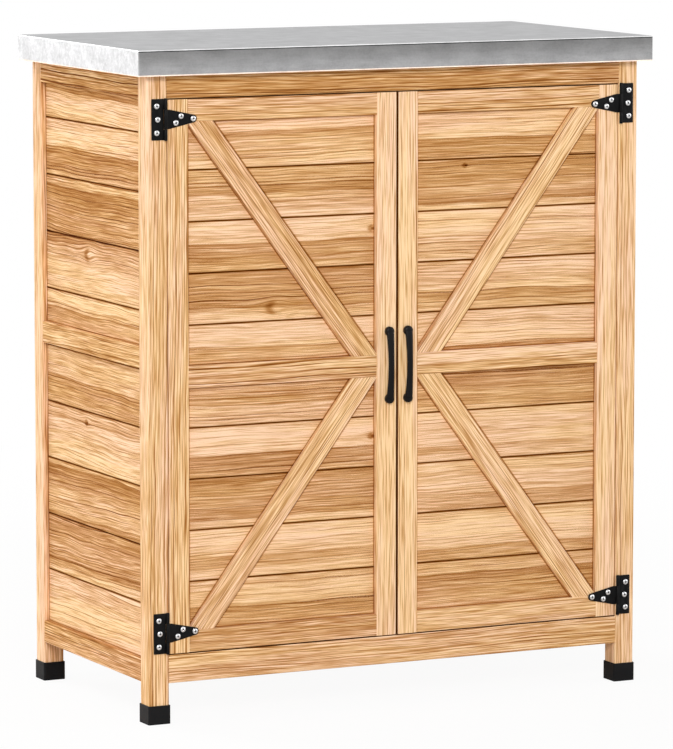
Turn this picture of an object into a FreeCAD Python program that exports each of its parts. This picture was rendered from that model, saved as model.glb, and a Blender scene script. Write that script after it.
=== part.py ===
import FreeCAD, Part
import math
import os

# Garden storage cabinet: a timber carcass on four posts, boarded on three sides,
# with two framed and braced doors on strap hinges and a sheet-metal worktop.
# Millimetres. The origin is on the floor, under the middle of the worktop.
# +X is to the right, +Y to the back and +Z up. The doors are at the front.

os.makedirs("parts", exist_ok=True)
V = FreeCAD.Vector
X_AXIS = V(1, 0, 0)
Y_AXIS = V(0, 1, 0)
Z_AXIS = V(0, 0, 1)

# Overall sizes
total_height = 941.5
body_width = 773.0
body_depth = 404.0
top_height = 36.0
overhang_side = 18.0
overhang_front = 14.0
overhang_back = 11.0

# Timber sections
post_side = 30.0
rail_thickness = 24.0
front_rail_thickness = 16.0
edge_radius = 1.5
face_recess = 8.0
batten_thickness = 7.0
batten_recess = 1.0
wall_board_thickness = 10.0
wall_board_pitch = 82.4
groove_depth = 7.5
groove_play = 0.5
bottom_rail_z = 57.0
side_bottom_rail_height = 32.0
side_top_rail_underside = 875.0
side_batten_bottom = 497.5
side_batten_height = 31.0
wall_seam_start = 166.0
front_bottom_rail_height = 40.0
floor_board_thickness = 12.0
floor_board_count = 5
shelf_board_count = 4
shelf_front = -150.0
slat_gap = 1.0
slat_chamfer = 0.8
slat_end_play = 0.5
cleat_side = 20.0
cleat_end_play = 3.0
cleat_screw_places = (-120.0, 0.0, 120.0)
shelf_cleat_lift = 0.5

# Doors
door_thickness = 15.5
door_bottom = 98.5
door_height = 773.5
door_side_gap = 1.5
door_edge_gap = 1.5
middle_gap = 3.0
stile_width = 31.0
rebate_width = 8.0
board_edge_play = 0.5
middle_rail_height = 31.0
brace_width = 32.0
brace_corner_cut = 1.5
door_board_pitch = 72.0
board_end_play = 0.5

# Tongue-and-groove joints between boards
seam_gap = 1.0
seam_chamfer = 0.6
tongue_thickness = 3.0
tongue_length = 3.5
tongue_play = 0.1
groove_extra = 0.5

# Strap hinges
pin_radius = 1.5
bore_radius = 1.53
knuckle_radius = 2.5
sheet = 1.0
pin_from_post_edge = 27.4
pin_forward = 2.8
leaf_from_post_edge = 6.8
leaf_height = 57.0
leaf_corner_radius = 1.2
strap_base_height = 26.6
strap_shoulder = 34.0
strap_tip = 75.3
strap_tip_radius = 5.35
knuckle_gap = 0.4
knuckle_web = 1.5
joggle = 0.3
joggle_lap = 0.5
pin_head_radius = 2.2
pin_head_height = 0.7
upper_hinge_inset = 27.0
lower_hinge_inset = 29.5
leaf_holes = [(14.3, 18.5), (15.8, 0.0), (14.3, -18.5)]
strap_holes = [(43.1, -5.2), (50.9, 4.0), (69.5, 0.0)]

# Screws and dowels
head_radius = 4.0
head_height = 2.4
head_rounding = 1.5
recess_length = 4.4
recess_width = 0.9
recess_depth = 1.3
shank_radius = 1.75
point_length = 2.8
point_tip_radius = 0.2
hole_play = 0.05
hole_spare = 0.5
plate_hole_radius = 2.1
dowel_radius = 4.0
dowel_play = 0.1
dowel_in_post = 12.0
dowel_in_rail = 22.0
dowel_end_play = 0.5
low_rail_dowels = (7.0, 19.0)
high_rail_dowels = (13.5, 24.0)
front_low_rail_dowels = (10.0, 30.0)

# Handles
handle_spacing = 96.0
handle_z = 486.0
foot_radius = 6.75
foot_height = 5.2
foot_rounding = 1.0
left_handle_inset = 12.25
right_handle_inset = 14.25
bow_width_end = 11.6
bow_width_middle = 8.6
bow_outer = [(-53.0, -1.5), (-48.5, -7.2), (-34.0, -9.4), (0, -11.4),
             (34.0, -9.4), (48.5, -7.2), (53.0, -1.5)]
bow_inner = [(41.5, -1.5), (36.0, -4.2), (0, -6.6), (-36.0, -4.2), (-41.5, -1.5)]
bow_blank_depth = 20.0
machine_screw_radius = 2.0
machine_screw_reach = 4.0
machine_screw_spare = 0.4

# Feet
cap_height = 26.5
cap_wall = 1.8
cap_base = 2.5
cap_play = 0.1
cap_corner_radius = 2.4
cap_rim_rounding = 0.5

# Worktop
pan_sheet = 0.8
pan_bend_radius = 1.8
pan_flange = 10.0
core_play = 0.2
bracket_leg = 25.0
bracket_width = 16.0
bracket_sheet = 1.5
bracket_hole_share = 0.6
side_bracket_y = 110.0
end_bracket_x = 200.0

# Catches
stop_thickness = 20.0
stop_bottom = 866.0
catch_x = 60.0
catch_body = (28.0, 15.0, 14.0)
catch_air = 0.1
catch_lug_length = 10.0
catch_lug_thickness = 2.0
catch_lug_depths = (2.0, 12.0)
magnet_size = (24.0, 9.0, 9.0)
strike_size = (38.0, 1.2, 12.0)
spur_radius = 1.0
spur_length = 6.0
spur_x = 14.0

# Places worked out from the sizes above
half_width = body_width / 2
top_depth = body_depth + overhang_front + overhang_back
front_y = overhang_front - top_depth / 2
back_y = front_y + body_depth
post_inner_x = half_width - post_side
frame_bottom = cap_base
frame_top = total_height - top_height + sheet
door_top = door_bottom + door_height
door_middle = door_bottom + door_height / 2
door_back_y = front_y + door_thickness
front_rail_back = front_y + front_rail_thickness
wall_inner_x = half_width - face_recess - wall_board_thickness
wall_inner_y = back_y - face_recess - wall_board_thickness
pin_x = half_width - pin_from_post_edge
pin_y = front_y - pin_forward
hinge_heights = (door_top - upper_hinge_inset, door_bottom + lower_hinge_inset)
saved_nodes = []


def save(node, solids):
    """Write one sub-part: a solid, or a group of separate solids."""
    shape = solids if isinstance(solids, Part.Shape) else Part.makeCompound(solids)
    shape.exportStep("parts/" + node + ".step")
    saved_nodes.append(node)


def box(x_range, y_range, z_range):
    """A box from its lowest and highest X, Y and Z."""
    (x0, x1), (y0, y1), (z0, z1) = (sorted(r) for r in (x_range, y_range, z_range))
    return Part.makeBox(x1 - x0, y1 - y0, z1 - z0, V(x0, y0, z0))


def cylinder(radius, length, base, direction):
    return Part.makeCylinder(radius, length, base, direction)


def mirrored(shape):
    """The same piece on the other side of the cabinet."""
    return shape.mirror(V(0, 0, 0), X_AXIS)


def edges_along(shape, axis):
    """The straight edges of a shape that run along an axis."""
    found = []
    for edge in shape.Edges:
        start, end = (v.Point for v in edge.Vertexes)
        direction = (end - start).normalize()
        if abs(direction.dot(axis)) > 0.999:
            found.append(edge)
    return found


def eased(shape, axis, keep=None):
    """Round the long edges along an axis, or only those that a test keeps."""
    edges = edges_along(shape, axis)
    if keep is not None:
        edges = [e for e in edges if keep(e.CenterOfMass)]
    return shape.makeFillet(edge_radius, edges)


def drilled(shape, holes):
    """A shape with a list of hole solids taken out, if they reach it."""
    for hole in holes:
        if shape.BoundBox.intersect(hole.BoundBox):
            shape = shape.cut(hole)
    return shape.Solids[0]


# Screws, dowels and the holes that they need

def pan_screw(tip_length, seat, direction):
    """A round-headed cross-recess screw whose head sits at seat and points along direction."""
    head = cylinder(head_radius, head_height, V(0, 0, -head_height), Z_AXIS)
    rim = [e for e in head.Edges if e.BoundBox.ZMax < -head_height + 0.01]
    head = head.makeFillet(head_rounding, [e for e in rim if e.Closed])
    half, thin = recess_length / 2, recess_width / 2
    deep = (-head_height, -head_height + recess_depth)
    cross = box((-half, half), (-thin, thin), deep).fuse(box((-thin, thin), (-half, half), deep))
    shank_length = tip_length - point_length
    shank = cylinder(shank_radius, shank_length, V(0, 0, 0), Z_AXIS)
    tip = Part.makeCone(shank_radius, point_tip_radius, point_length, V(0, 0, shank_length), Z_AXIS)
    screw = head.cut(cross).fuse([shank, tip]).removeSplitter()
    screw.Placement = FreeCAD.Placement(seat, FreeCAD.Rotation(Z_AXIS, direction))
    return screw.Solids[0]


def screw_hole(tip_length, seat, direction):
    """The pilot hole of a screw, from its seat to just past its point."""
    return cylinder(shank_radius + hole_play, tip_length + hole_spare, seat, direction)


class ScrewSet:
    """Screws of one length that share a node, with the holes they need."""

    def __init__(self, length):
        self.length = length
        self.screws = []
        self.holes = []

    def add(self, seat, direction):
        self.screws.append(pan_screw(self.length, seat, direction))
        self.holes.append(screw_hole(self.length, seat, direction))


leaf_screws = ScrewSet(16.0)
strap_screws = {"left": ScrewSet(13.5), "right": ScrewSet(13.5)}
short_screws = ScrewSet(12.0)
cleat_screws = ScrewSet(35.0)
dowels = []
dowel_holes = []


def add_dowel(face_point, into_post):
    """A dowel across a joint, from a point on the post's face."""
    start = face_point + into_post * dowel_in_post
    away = into_post * -1
    length = dowel_in_post + dowel_in_rail
    dowels.append(cylinder(dowel_radius, length - 2 * dowel_end_play,
                           start + away * dowel_end_play, away))
    dowel_holes.append(cylinder(dowel_radius + dowel_play, length, start, away))


def plan_dowels():
    """Two dowels at each end of the eight rails that join the posts."""
    side_x = half_width - rail_thickness / 2
    back_rail_y = back_y - rail_thickness / 2
    front_rail_y = front_y + front_rail_thickness / 2
    low = tuple(bottom_rail_z + rise for rise in low_rail_dowels)
    high = tuple(side_top_rail_underside + rise for rise in high_rail_dowels)
    front_low = tuple(bottom_rail_z + rise for rise in front_low_rail_dowels)
    for z in low + high:
        for side in (-1, 1):
            add_dowel(V(side * side_x, front_y + post_side, z), Y_AXIS * -1)
            add_dowel(V(side * side_x, back_y - post_side, z), Y_AXIS)
            add_dowel(V(side * post_inner_x, back_rail_y, z), X_AXIS * side)
    for z in front_low + high:
        for side in (-1, 1):
            add_dowel(V(side * post_inner_x, front_rail_y, z), X_AXIS * side)


# Boards with tongues and grooves

def board_section(thickness, bottom, top, grooved, tongued):
    """The outline of a board in the depth-height plane, its face at depth 0."""
    middle = thickness / 2
    half_tongue = tongue_thickness / 2
    half_groove = half_tongue + tongue_play
    slot = seam_gap / 2
    points = [(0, bottom)]
    if grooved:
        points = [
            (0, bottom + slot + seam_chamfer),
            (seam_chamfer, bottom + slot),
            (middle - half_groove, bottom + slot),
            (middle - half_groove, bottom + tongue_length + groove_extra),
            (middle + half_groove, bottom + tongue_length + groove_extra),
            (middle + half_groove, bottom),
        ]
    points.append((thickness, bottom))
    points.append((thickness, top))
    if tongued:
        points += [
            (middle + half_tongue, top),
            (middle + half_tongue, top + tongue_length),
            (middle - half_tongue, top + tongue_length),
            (middle - half_tongue, top - slot),
            (seam_chamfer, top - slot),
            (0, top - slot - seam_chamfer),
        ]
    else:
        points.append((0, top))
    return [V(0, depth, height) for depth, height in points]


def boarded_panel(thickness, seams, length):
    """Boards between the heights in seams, facing -Y, centred on X = 0."""
    boards = []
    last = len(seams) - 2
    for index, (bottom, top) in enumerate(zip(seams, seams[1:])):
        outline = board_section(thickness, bottom, top, index > 0, index < last)
        face = Part.Face(Part.makePolygon(outline + outline[:1]))
        board = face.extrude(X_AXIS * length)
        board.translate(X_AXIS * (-length / 2))
        boards.append(board)
    return boards


def placed(solids, angle, shift):
    """Turn solids about the vertical axis, then move them."""
    moved = []
    for solid in solids:
        copy = solid.copy()
        copy.rotate(V(0, 0, 0), Z_AXIS, angle)
        copy.translate(shift)
        moved.append(copy)
    return moved


# Carcass

def wall_seams():
    """Board edges on the three closed sides, from groove to groove."""
    bottom = bottom_rail_z + side_bottom_rail_height - groove_depth
    top = side_top_rail_underside + groove_depth
    seams = [bottom]
    height = wall_seam_start
    while height < top:
        seams.append(height)
        height += wall_board_pitch
    return seams + [top]


def post(side_x, at_back):
    """A corner post, grooved for the boards of the walls that meet it."""
    x_range = (side_x * post_inner_x, side_x * half_width)
    y_range = (back_y - post_side, back_y) if at_back else (front_y, front_y + post_side)
    shape = eased(box(x_range, y_range, (frame_bottom, frame_top)), Z_AXIS)
    groove_z = (wall_seams()[0] - groove_play, wall_seams()[-1] + groove_play)
    outer_x = side_x * (half_width - face_recess)
    inner_x = side_x * wall_inner_x
    inner_face = y_range[0] if at_back else y_range[1]
    into = 1 if at_back else -1
    side_groove = box((outer_x, inner_x), (inner_face, inner_face + into * (groove_depth + groove_play)),
                      groove_z)
    shape = shape.cut(side_groove)
    if at_back:
        start = side_x * post_inner_x
        back_groove = box((start, start + side_x * (groove_depth + groove_play)),
                          (wall_inner_y, back_y - face_recess), groove_z)
        shape = shape.cut(back_groove)
    return shape


def side_rail(z_range, groove_side):
    """A rail between the left posts, with a groove in its top or bottom edge."""
    length = (front_y + post_side, back_y - post_side)
    outer, inner = -half_width, -half_width + rail_thickness
    shape = eased(box((outer, inner), length, z_range), Y_AXIS)
    edge = z_range[1] if groove_side > 0 else z_range[0]
    groove = box((-half_width + face_recess, -wall_inner_x), length,
                 (edge, edge - groove_side * (groove_depth + groove_play)))
    return shape.cut(groove)


def back_rail(z_range, groove_side):
    """A rail between the back posts, with a groove in its top or bottom edge."""
    length = (-post_inner_x, post_inner_x)
    shape = eased(box(length, (back_y - rail_thickness, back_y), z_range), X_AXIS)
    edge = z_range[1] if groove_side > 0 else z_range[0]
    groove = box(length, (wall_inner_y, back_y - face_recess),
                 (edge, edge - groove_side * (groove_depth + groove_play)))
    return shape.cut(groove)


def side_batten():
    """The middle rail of the left side, fixed on the face of the boards."""
    outer = -half_width + batten_recess
    shape = box((outer, outer + batten_thickness), (front_y + post_side, back_y - post_side),
                (side_batten_bottom, side_batten_bottom + side_batten_height))
    return eased(shape, Y_AXIS, lambda c: c.x < outer + 0.1)


def front_rail(z_range):
    shape = box((-post_inner_x, post_inner_x), (front_y, front_rail_back), z_range)
    return eased(shape, X_AXIS, lambda c: c.y < front_y + 0.1)


def door_stop():
    """The batten behind the front top rail that the doors close against."""
    return box((-post_inner_x, post_inner_x), (front_rail_back, front_rail_back + stop_thickness),
               (stop_bottom, frame_top))


def cleats():
    """Battens along the sides that carry the floor and the shelf."""
    y_range = (front_y + post_side + cleat_end_play, back_y - post_side - cleat_end_play)
    shelf_z = side_batten_bottom + shelf_cleat_lift
    floor_z = door_bottom - door_edge_gap - floor_board_thickness - cleat_side
    rail_inner = half_width - rail_thickness
    left = []
    for inner_x, z in ((wall_inner_x, shelf_z), (rail_inner, floor_z)):
        left.append(box((-inner_x, -inner_x + cleat_side), y_range, (z, z + cleat_side)))
        for y in cleat_screw_places:
            for side in (-1, 1):
                seat = V(side * (inner_x - cleat_side), y, z + cleat_side / 2)
                cleat_screws.add(seat, X_AXIS * side)
    return left + [mirrored(c) for c in left]


def slats(count, y_range, z_range, half_length):
    """Boards that run from side to side, laid on cleats and notched round the posts."""
    pitch = (y_range[1] - y_range[0]) / count
    notch_x = post_inner_x - slat_end_play
    notches = []
    for y in ((front_y, front_y + post_side + slat_end_play), (back_y - post_side - slat_end_play, back_y)):
        notches.append(box((-half_width, -notch_x), y, z_range))
        notches.append(box((notch_x, half_width), y, z_range))
    boards = []
    for index in range(count):
        y = y_range[0] + index * pitch
        board = box((-half_length, half_length), (y + slat_gap / 2, y + pitch - slat_gap / 2), z_range)
        top_edges = [e for e in edges_along(board, X_AXIS) if e.CenterOfMass.z > z_range[1] - 0.1]
        boards.append(drilled(board.makeChamfer(slat_chamfer, top_edges), notches))
    return boards


def foot_cap(x, y):
    """A square plastic cap under a post, centred on x and y."""
    outer = post_side / 2 + cap_wall
    inner = post_side / 2 + cap_play
    shape = box((x - outer, x + outer), (y - outer, y + outer), (0, cap_height))
    shape = shape.makeFillet(cap_corner_radius, edges_along(shape, Z_AXIS))
    rims = [e for e in shape.Edges if e.BoundBox.ZMax < 0.01 or e.BoundBox.ZMin > cap_height - 0.01]
    shape = shape.makeFillet(cap_rim_rounding, rims)
    pocket = box((x - inner, x + inner), (y - inner, y + inner), (cap_base, cap_height))
    pocket = pocket.makeFillet(edge_radius - cap_play, edges_along(pocket, Z_AXIS))
    return shape.cut(pocket)


# Worktop

top_half_width = half_width + overhang_side


def top_sheet():
    """The folded metal pan over the worktop, with its edge turned in below."""
    low = total_height - top_height
    half_depth = top_depth / 2
    outer = box((-top_half_width, top_half_width), (-half_depth, half_depth), (low, total_height))
    outer = outer.makeFillet(pan_bend_radius, edges_along(outer, Z_AXIS))
    upper = [e for e in outer.Edges if e.BoundBox.ZMin > total_height - 0.01]
    outer = outer.makeFillet(pan_bend_radius, upper)
    inside_x, inside_y = top_half_width - pan_sheet, half_depth - pan_sheet
    inner = box((-inside_x, inside_x), (-inside_y, inside_y), (low + pan_sheet, total_height - pan_sheet))
    inner = inner.makeFillet(pan_bend_radius - pan_sheet, edges_along(inner, Z_AXIS))
    upper = [e for e in inner.Edges if e.BoundBox.ZMin > total_height - pan_sheet - 0.01]
    inner = inner.makeFillet(pan_bend_radius - pan_sheet, upper)
    mouth_x, mouth_y = top_half_width - pan_flange, half_depth - pan_flange
    mouth = box((-mouth_x, mouth_x), (-mouth_y, mouth_y), (low, low + pan_sheet + 0.1))
    return outer.cut(inner).cut(mouth)


def top_core():
    """The timber board inside the metal pan, which the posts carry."""
    x = top_half_width - pan_sheet - core_play
    y = top_depth / 2 - pan_sheet - core_play
    shape = box((-x, x), (-y, y), (frame_top, total_height - pan_sheet))
    bent = [e for e in shape.Edges if e.BoundBox.ZMax > total_height - pan_sheet - 0.01]
    return shape.makeChamfer(pan_bend_radius, bent)


def top_bracket(corner, inward):
    """An angle bracket in the corner between a top rail and the worktop."""
    leg, width, thick = bracket_leg, bracket_width, bracket_sheet
    plates = box((0, leg), (-width / 2, width / 2), (-thick, 0)).fuse(
        box((0, thick), (-width / 2, width / 2), (-leg, 0)))
    reach = leg * bracket_hole_share
    upward_seat = V(reach, 0, -thick)
    sideways_seat = V(thick, 0, -reach)
    plates = plates.cut(cylinder(plate_hole_radius, thick + 1, upward_seat - Z_AXIS * 0.5, Z_AXIS))
    plates = plates.cut(cylinder(plate_hole_radius, thick + 1, sideways_seat + X_AXIS * 0.5, X_AXIS * -1))
    turn = FreeCAD.Rotation(X_AXIS, inward)
    place = FreeCAD.Placement(corner, turn)
    bracket = plates.removeSplitter().Solids[0]
    bracket.Placement = place
    short_screws.add(place.multVec(upward_seat), Z_AXIS)
    short_screws.add(place.multVec(sideways_seat), inward * -1)
    return bracket


def top_brackets():
    """Eight brackets: two on each side, two at the back and two at the front."""
    rail_inner_x = half_width - rail_thickness
    brackets = []
    for y in (-side_bracket_y, side_bracket_y):
        brackets.append(top_bracket(V(-rail_inner_x, y, frame_top), X_AXIS))
        brackets.append(top_bracket(V(rail_inner_x, y, frame_top), X_AXIS * -1))
    for x in (-end_bracket_x, end_bracket_x):
        brackets.append(top_bracket(V(x, back_y - rail_thickness, frame_top), Y_AXIS * -1))
        brackets.append(top_bracket(V(x, front_rail_back + stop_thickness, frame_top), Y_AXIS))
    return brackets


# Magnetic catches

def catch_parts(x):
    """A magnetic catch under the door stop: its housing and its magnet."""
    width, depth, height = catch_body
    face_y = door_back_y + strike_size[1] + catch_air
    body = box((x - width / 2, x + width / 2), (face_y, face_y + depth), (stop_bottom - height, stop_bottom))
    lug_x = width / 2 + catch_lug_length
    lug_front, lug_back = (face_y + depth for depth in catch_lug_depths)
    lugs = box((x - lug_x, x + lug_x), (lug_front, lug_back),
               (stop_bottom - catch_lug_thickness, stop_bottom))
    housing = body.fuse(lugs).removeSplitter()
    for side in (-1, 1):
        seat = V(x + side * (width / 2 + catch_lug_length / 2), (lug_front + lug_back) / 2,
                 stop_bottom - catch_lug_thickness)
        housing = housing.cut(cylinder(plate_hole_radius, catch_lug_thickness, seat, Z_AXIS))
        short_screws.add(seat, Z_AXIS)
    m_width, m_depth, m_height = magnet_size
    low = stop_bottom - height / 2 - m_height / 2
    magnet = box((x - m_width / 2, x + m_width / 2), (face_y, face_y + m_depth), (low, low + m_height))
    return housing.cut(magnet), magnet


# Hinges, drawn for the left side with the pin at the local origin

def tangent_from(point, centre, radius):
    """The upper point where a line from point touches a circle."""
    dx, dz = centre[0] - point[0], centre[1] - point[1]
    angle = math.atan2(dz, dx) + math.asin(radius / math.hypot(dx, dz))
    reach = math.sqrt(dx * dx + dz * dz - radius * radius)
    return point[0] + reach * math.cos(angle), point[1] + reach * math.sin(angle)


def knuckle(z_range):
    return cylinder(knuckle_radius, z_range[1] - z_range[0], V(0, 0, z_range[0]), Z_AXIS)


def pin_bore():
    return cylinder(bore_radius, leaf_height + 2, V(0, 0, -leaf_height / 2 - 1), Z_AXIS)


def hinge_leaf():
    """The fixed leaf, with a knuckle above and below the strap's."""
    half = leaf_height / 2
    split = strap_base_height / 2 + knuckle_gap
    left = leaf_from_post_edge - pin_from_post_edge
    plate = box((left, 0), (pin_forward - sheet, pin_forward), (-half, half))
    corners = [e for e in edges_along(plate, Y_AXIS) if e.CenterOfMass.x < left + 0.1]
    plate = plate.makeFillet(leaf_corner_radius, corners)
    plate_rise = pin_forward - sheet
    clearance = math.sqrt(knuckle_radius ** 2 - plate_rise ** 2) + knuckle_gap
    plate = plate.cut(box((-clearance, 1), (0, pin_forward + 1), (-split, split)))
    web = box((-knuckle_web, 0), (0, pin_forward - sheet / 2), (-half, half))
    web = web.cut(box((-knuckle_web - 1, 1), (-1, pin_forward + 1), (-split, split)))
    shape = plate.fuse([web, knuckle((split, half)), knuckle((-half, -split))])
    shape = shape.cut(pin_bore())
    for x, z in leaf_holes:
        centre = V(x - pin_from_post_edge, pin_forward + 1, z)
        shape = shape.cut(cylinder(plate_hole_radius, sheet + 2, centre, Y_AXIS * -1))
    return shape.removeSplitter().Solids[0]


def hinge_strap():
    """The moving strap, tapered to a round tip, with the middle knuckle."""
    half = strap_base_height / 2
    start = post_side + door_side_gap - pin_from_post_edge - joggle
    shoulder = strap_shoulder - pin_from_post_edge
    tip_x = strap_tip - strap_tip_radius - pin_from_post_edge
    touch_x, touch_z = tangent_from((shoulder, half), (tip_x, 0), strap_tip_radius)
    y = pin_forward - sheet
    lower = [V(touch_x, y, -touch_z), V(shoulder, y, -half), V(start, y, -half)]
    upper = [V(start, y, half), V(shoulder, y, half), V(touch_x, y, touch_z)]
    outline = Part.makePolygon(lower + upper).Edges
    tip = Part.Arc(upper[-1], V(tip_x + strap_tip_radius, y, 0), lower[0]).toShape()
    plate = Part.Face(Part.Wire(outline + [tip])).extrude(Y_AXIS * sheet)
    bridge = box((0, start + joggle_lap), (pin_forward - joggle - sheet, pin_forward - joggle), (-half, half))
    shape = plate.fuse([bridge, knuckle((-half, half))]).cut(pin_bore())
    for x, z in strap_holes:
        centre = V(x - pin_from_post_edge, pin_forward + 1, z)
        shape = shape.cut(cylinder(plate_hole_radius, sheet + 2, centre, Y_AXIS * -1))
    return shape.removeSplitter().Solids[0]


def hinge_pin():
    half = leaf_height / 2
    pin = cylinder(pin_radius, leaf_height, V(0, 0, -half), Z_AXIS)
    ends = (half, -half - pin_head_height)
    heads = [cylinder(pin_head_radius, pin_head_height, V(0, 0, z), Z_AXIS) for z in ends]
    return pin.fuse(heads).removeSplitter()


def on_side(shape, side, height):
    """A hinge part in its place. The right-hand one is the same piece turned half round."""
    copy = shape.copy()
    if side > 0:
        copy.rotate(V(0, 0, 0), Y_AXIS, 180)
    copy.translate(V(side * pin_x, pin_y, height))
    return copy


def hinge_screw_seat(hole, side, height):
    x, z = hole
    turn = -1 if side > 0 else 1
    return V(side * (half_width - x), front_y - sheet, height + turn * z)


# Doors, drawn for the left side

left_edge = -post_inner_x + door_side_gap
right_edge = -middle_gap / 2
lip_depth = face_recess


def hinge_stile():
    """The stile that carries the hinges, rebated behind for the boards."""
    shape = box((left_edge, left_edge + stile_width), (front_y, door_back_y), (door_bottom, door_top))
    shape = eased(shape, Z_AXIS, lambda c: c.y < front_y + 0.1)
    rebate = box((left_edge + stile_width - rebate_width, left_edge + stile_width),
                 (front_y + lip_depth, door_back_y), (door_bottom, door_top))
    return shape.cut(rebate)


def lock_stile():
    """The stile that carries the handle, the mirror image of the hinge stile."""
    centre = (left_edge + right_edge) / 2
    return hinge_stile().mirror(V(centre, 0, 0), X_AXIS)


def door_rail(at_top):
    """A top or bottom rail, whose back half laps into the rebates of the stiles."""
    z_range = (door_top - stile_width, door_top) if at_top else (door_bottom, door_bottom + stile_width)
    inner = (left_edge + stile_width, right_edge - stile_width)
    front = box(inner, (front_y, front_y + lip_depth), z_range)
    front = eased(front, X_AXIS, lambda c: c.y < front_y + 0.1)
    back_z = (z_range[0] + rebate_width, z_range[1]) if at_top else (z_range[0], z_range[1] - rebate_width)
    back = box((inner[0] - rebate_width, inner[1] + rebate_width), (front_y + lip_depth, door_back_y), back_z)
    return front.fuse(back).removeSplitter()


def door_middle_rail():
    y0 = front_y + batten_recess
    shape = box((left_edge + stile_width, right_edge - stile_width), (y0, y0 + batten_thickness),
                (door_middle - middle_rail_height / 2, door_middle + middle_rail_height / 2))
    return eased(shape, X_AXIS, lambda c: c.y < y0 + 0.1)


def upper_brace():
    """A diagonal from the hinge side, under the top rail, down to the middle rail."""
    x0, x1 = left_edge + stile_width, right_edge - stile_width
    z0, z1 = door_middle + middle_rail_height / 2, door_top - stile_width
    width, height = x1 - x0, z1 - z0
    diagonal = math.hypot(width, height)
    slope = math.atan2(height, width) + math.asin((brace_width - 2 * brace_corner_cut) / diagonal)
    y0 = front_y + batten_recess
    half = brace_width / 2
    bar = box((-diagonal, diagonal), (y0, y0 + batten_thickness), (-half, half))
    bar = eased(bar, X_AXIS, lambda c: c.y < y0 + 0.1)
    bar.rotate(V(0, 0, 0), Y_AXIS, math.degrees(slope))
    bar.translate(V((x0 + x1) / 2, 0, (z0 + z1) / 2))
    return bar.common(box((x0, x1), (y0, y0 + batten_thickness), (z0, z1))).Solids[0]


def lower_brace():
    """The mirror image of the upper brace, below the middle rail."""
    return upper_brace().mirror(V(0, 0, door_middle), Z_AXIS)


def door_boards():
    """Ten boards behind the frame, the first and last a little wider."""
    lap = stile_width - rebate_width + board_edge_play
    seams = [door_bottom + lap]
    seams += [door_middle + k * door_board_pitch for k in range(-4, 5)]
    seams.append(door_top - lap)
    length = right_edge - left_edge - 2 * (stile_width - rebate_width + board_end_play)
    boards = boarded_panel(door_thickness - lip_depth, seams, length)
    return placed(boards, 0, V((left_edge + right_edge) / 2, front_y + lip_depth, 0))


def handle(x):
    """A bow handle on two round feet, tapering a little towards its middle.

    The points of its outer and inner curves are heights from its middle and
    distances from the door, in that order.
    """
    half = handle_spacing / 2
    wide = bow_width_end
    outer_curve = Part.BSplineCurve()
    outer_curve.interpolate([V(-wide, y, z) for z, y in bow_outer])
    inner_curve = Part.BSplineCurve()
    inner_curve.interpolate([V(-wide, y, z) for z, y in bow_inner])
    ends = Part.makePolygon([outer_curve.EndPoint, inner_curve.StartPoint]).Edges
    ends += Part.makePolygon([inner_curve.EndPoint, outer_curve.StartPoint]).Edges
    side = Part.Wire([outer_curve.toShape(), ends[0], inner_curve.toShape(), ends[1]])
    bow = Part.Face(side).extrude(X_AXIS * (2 * wide))
    plan = [V(-bow_width_end / 2, 0, -half), V(-bow_width_middle / 2, 0, 0), V(-bow_width_end / 2, 0, half)]
    flip = [V(-p.x, 0, p.z) for p in plan]
    left = Part.Arc(*plan).toShape()
    right = Part.Arc(*flip).toShape()
    caps = [Part.Arc(plan[2], V(0, 0, half + bow_width_end / 2), flip[2]).toShape(),
            Part.Arc(plan[0], V(0, 0, -half - bow_width_end / 2), flip[0]).toShape()]
    blank = Part.Face(Part.Wire(Part.__sortEdges__([left, caps[0], right, caps[1]])))
    bow = bow.common(blank.extrude(Y_AXIS * -bow_blank_depth))
    feet = []
    for z in (-half, half):
        foot = cylinder(foot_radius, foot_height, V(0, 0, z), Y_AXIS * -1)
        rim = [e for e in foot.Edges if e.Closed and e.BoundBox.YMax < -foot_height + 0.01]
        feet.append(foot.makeFillet(foot_rounding, rim))
    shape = bow.fuse(feet).removeSplitter()
    shape.translate(V(x, front_y, handle_z))
    return shape.Solids[0]


def handle_screws(x):
    """Two machine screws through the stile into the feet of a handle."""
    solids, holes = [], []
    reach = door_thickness + machine_screw_reach
    for dz in (-handle_spacing / 2, handle_spacing / 2):
        seat = V(x, door_back_y, handle_z + dz)
        head = cylinder(head_radius, head_height, seat, Y_AXIS)
        rim = [e for e in head.Edges if e.Closed and e.BoundBox.YMin > door_back_y + head_height - 0.01]
        head = head.makeFillet(head_rounding, rim)
        shank = cylinder(machine_screw_radius, reach, seat, Y_AXIS * -1)
        solids.append(head.fuse(shank).removeSplitter().Solids[0])
        hole_length = reach + machine_screw_spare
        holes.append(cylinder(machine_screw_radius + hole_play, hole_length, seat, Y_AXIS * -1))
    return solids, holes


def strike_plate(x):
    """A steel plate on the back of the top rail, held by two spurs."""
    width, thick, height = strike_size
    centre_z = stop_bottom - catch_body[2] / 2
    plate = box((x - width / 2, x + width / 2), (door_back_y, door_back_y + thick),
                (centre_z - height / 2, centre_z + height / 2))
    spurs, holes = [], []
    for dx in (-spur_x, spur_x):
        base = V(x + dx, door_back_y, centre_z)
        spurs.append(cylinder(spur_radius, spur_length, base, Y_AXIS * -1))
        holes.append(cylinder(spur_radius + hole_play, spur_length + hole_spare, base, Y_AXIS * -1))
    return plate.fuse(spurs).removeSplitter(), holes


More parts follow.
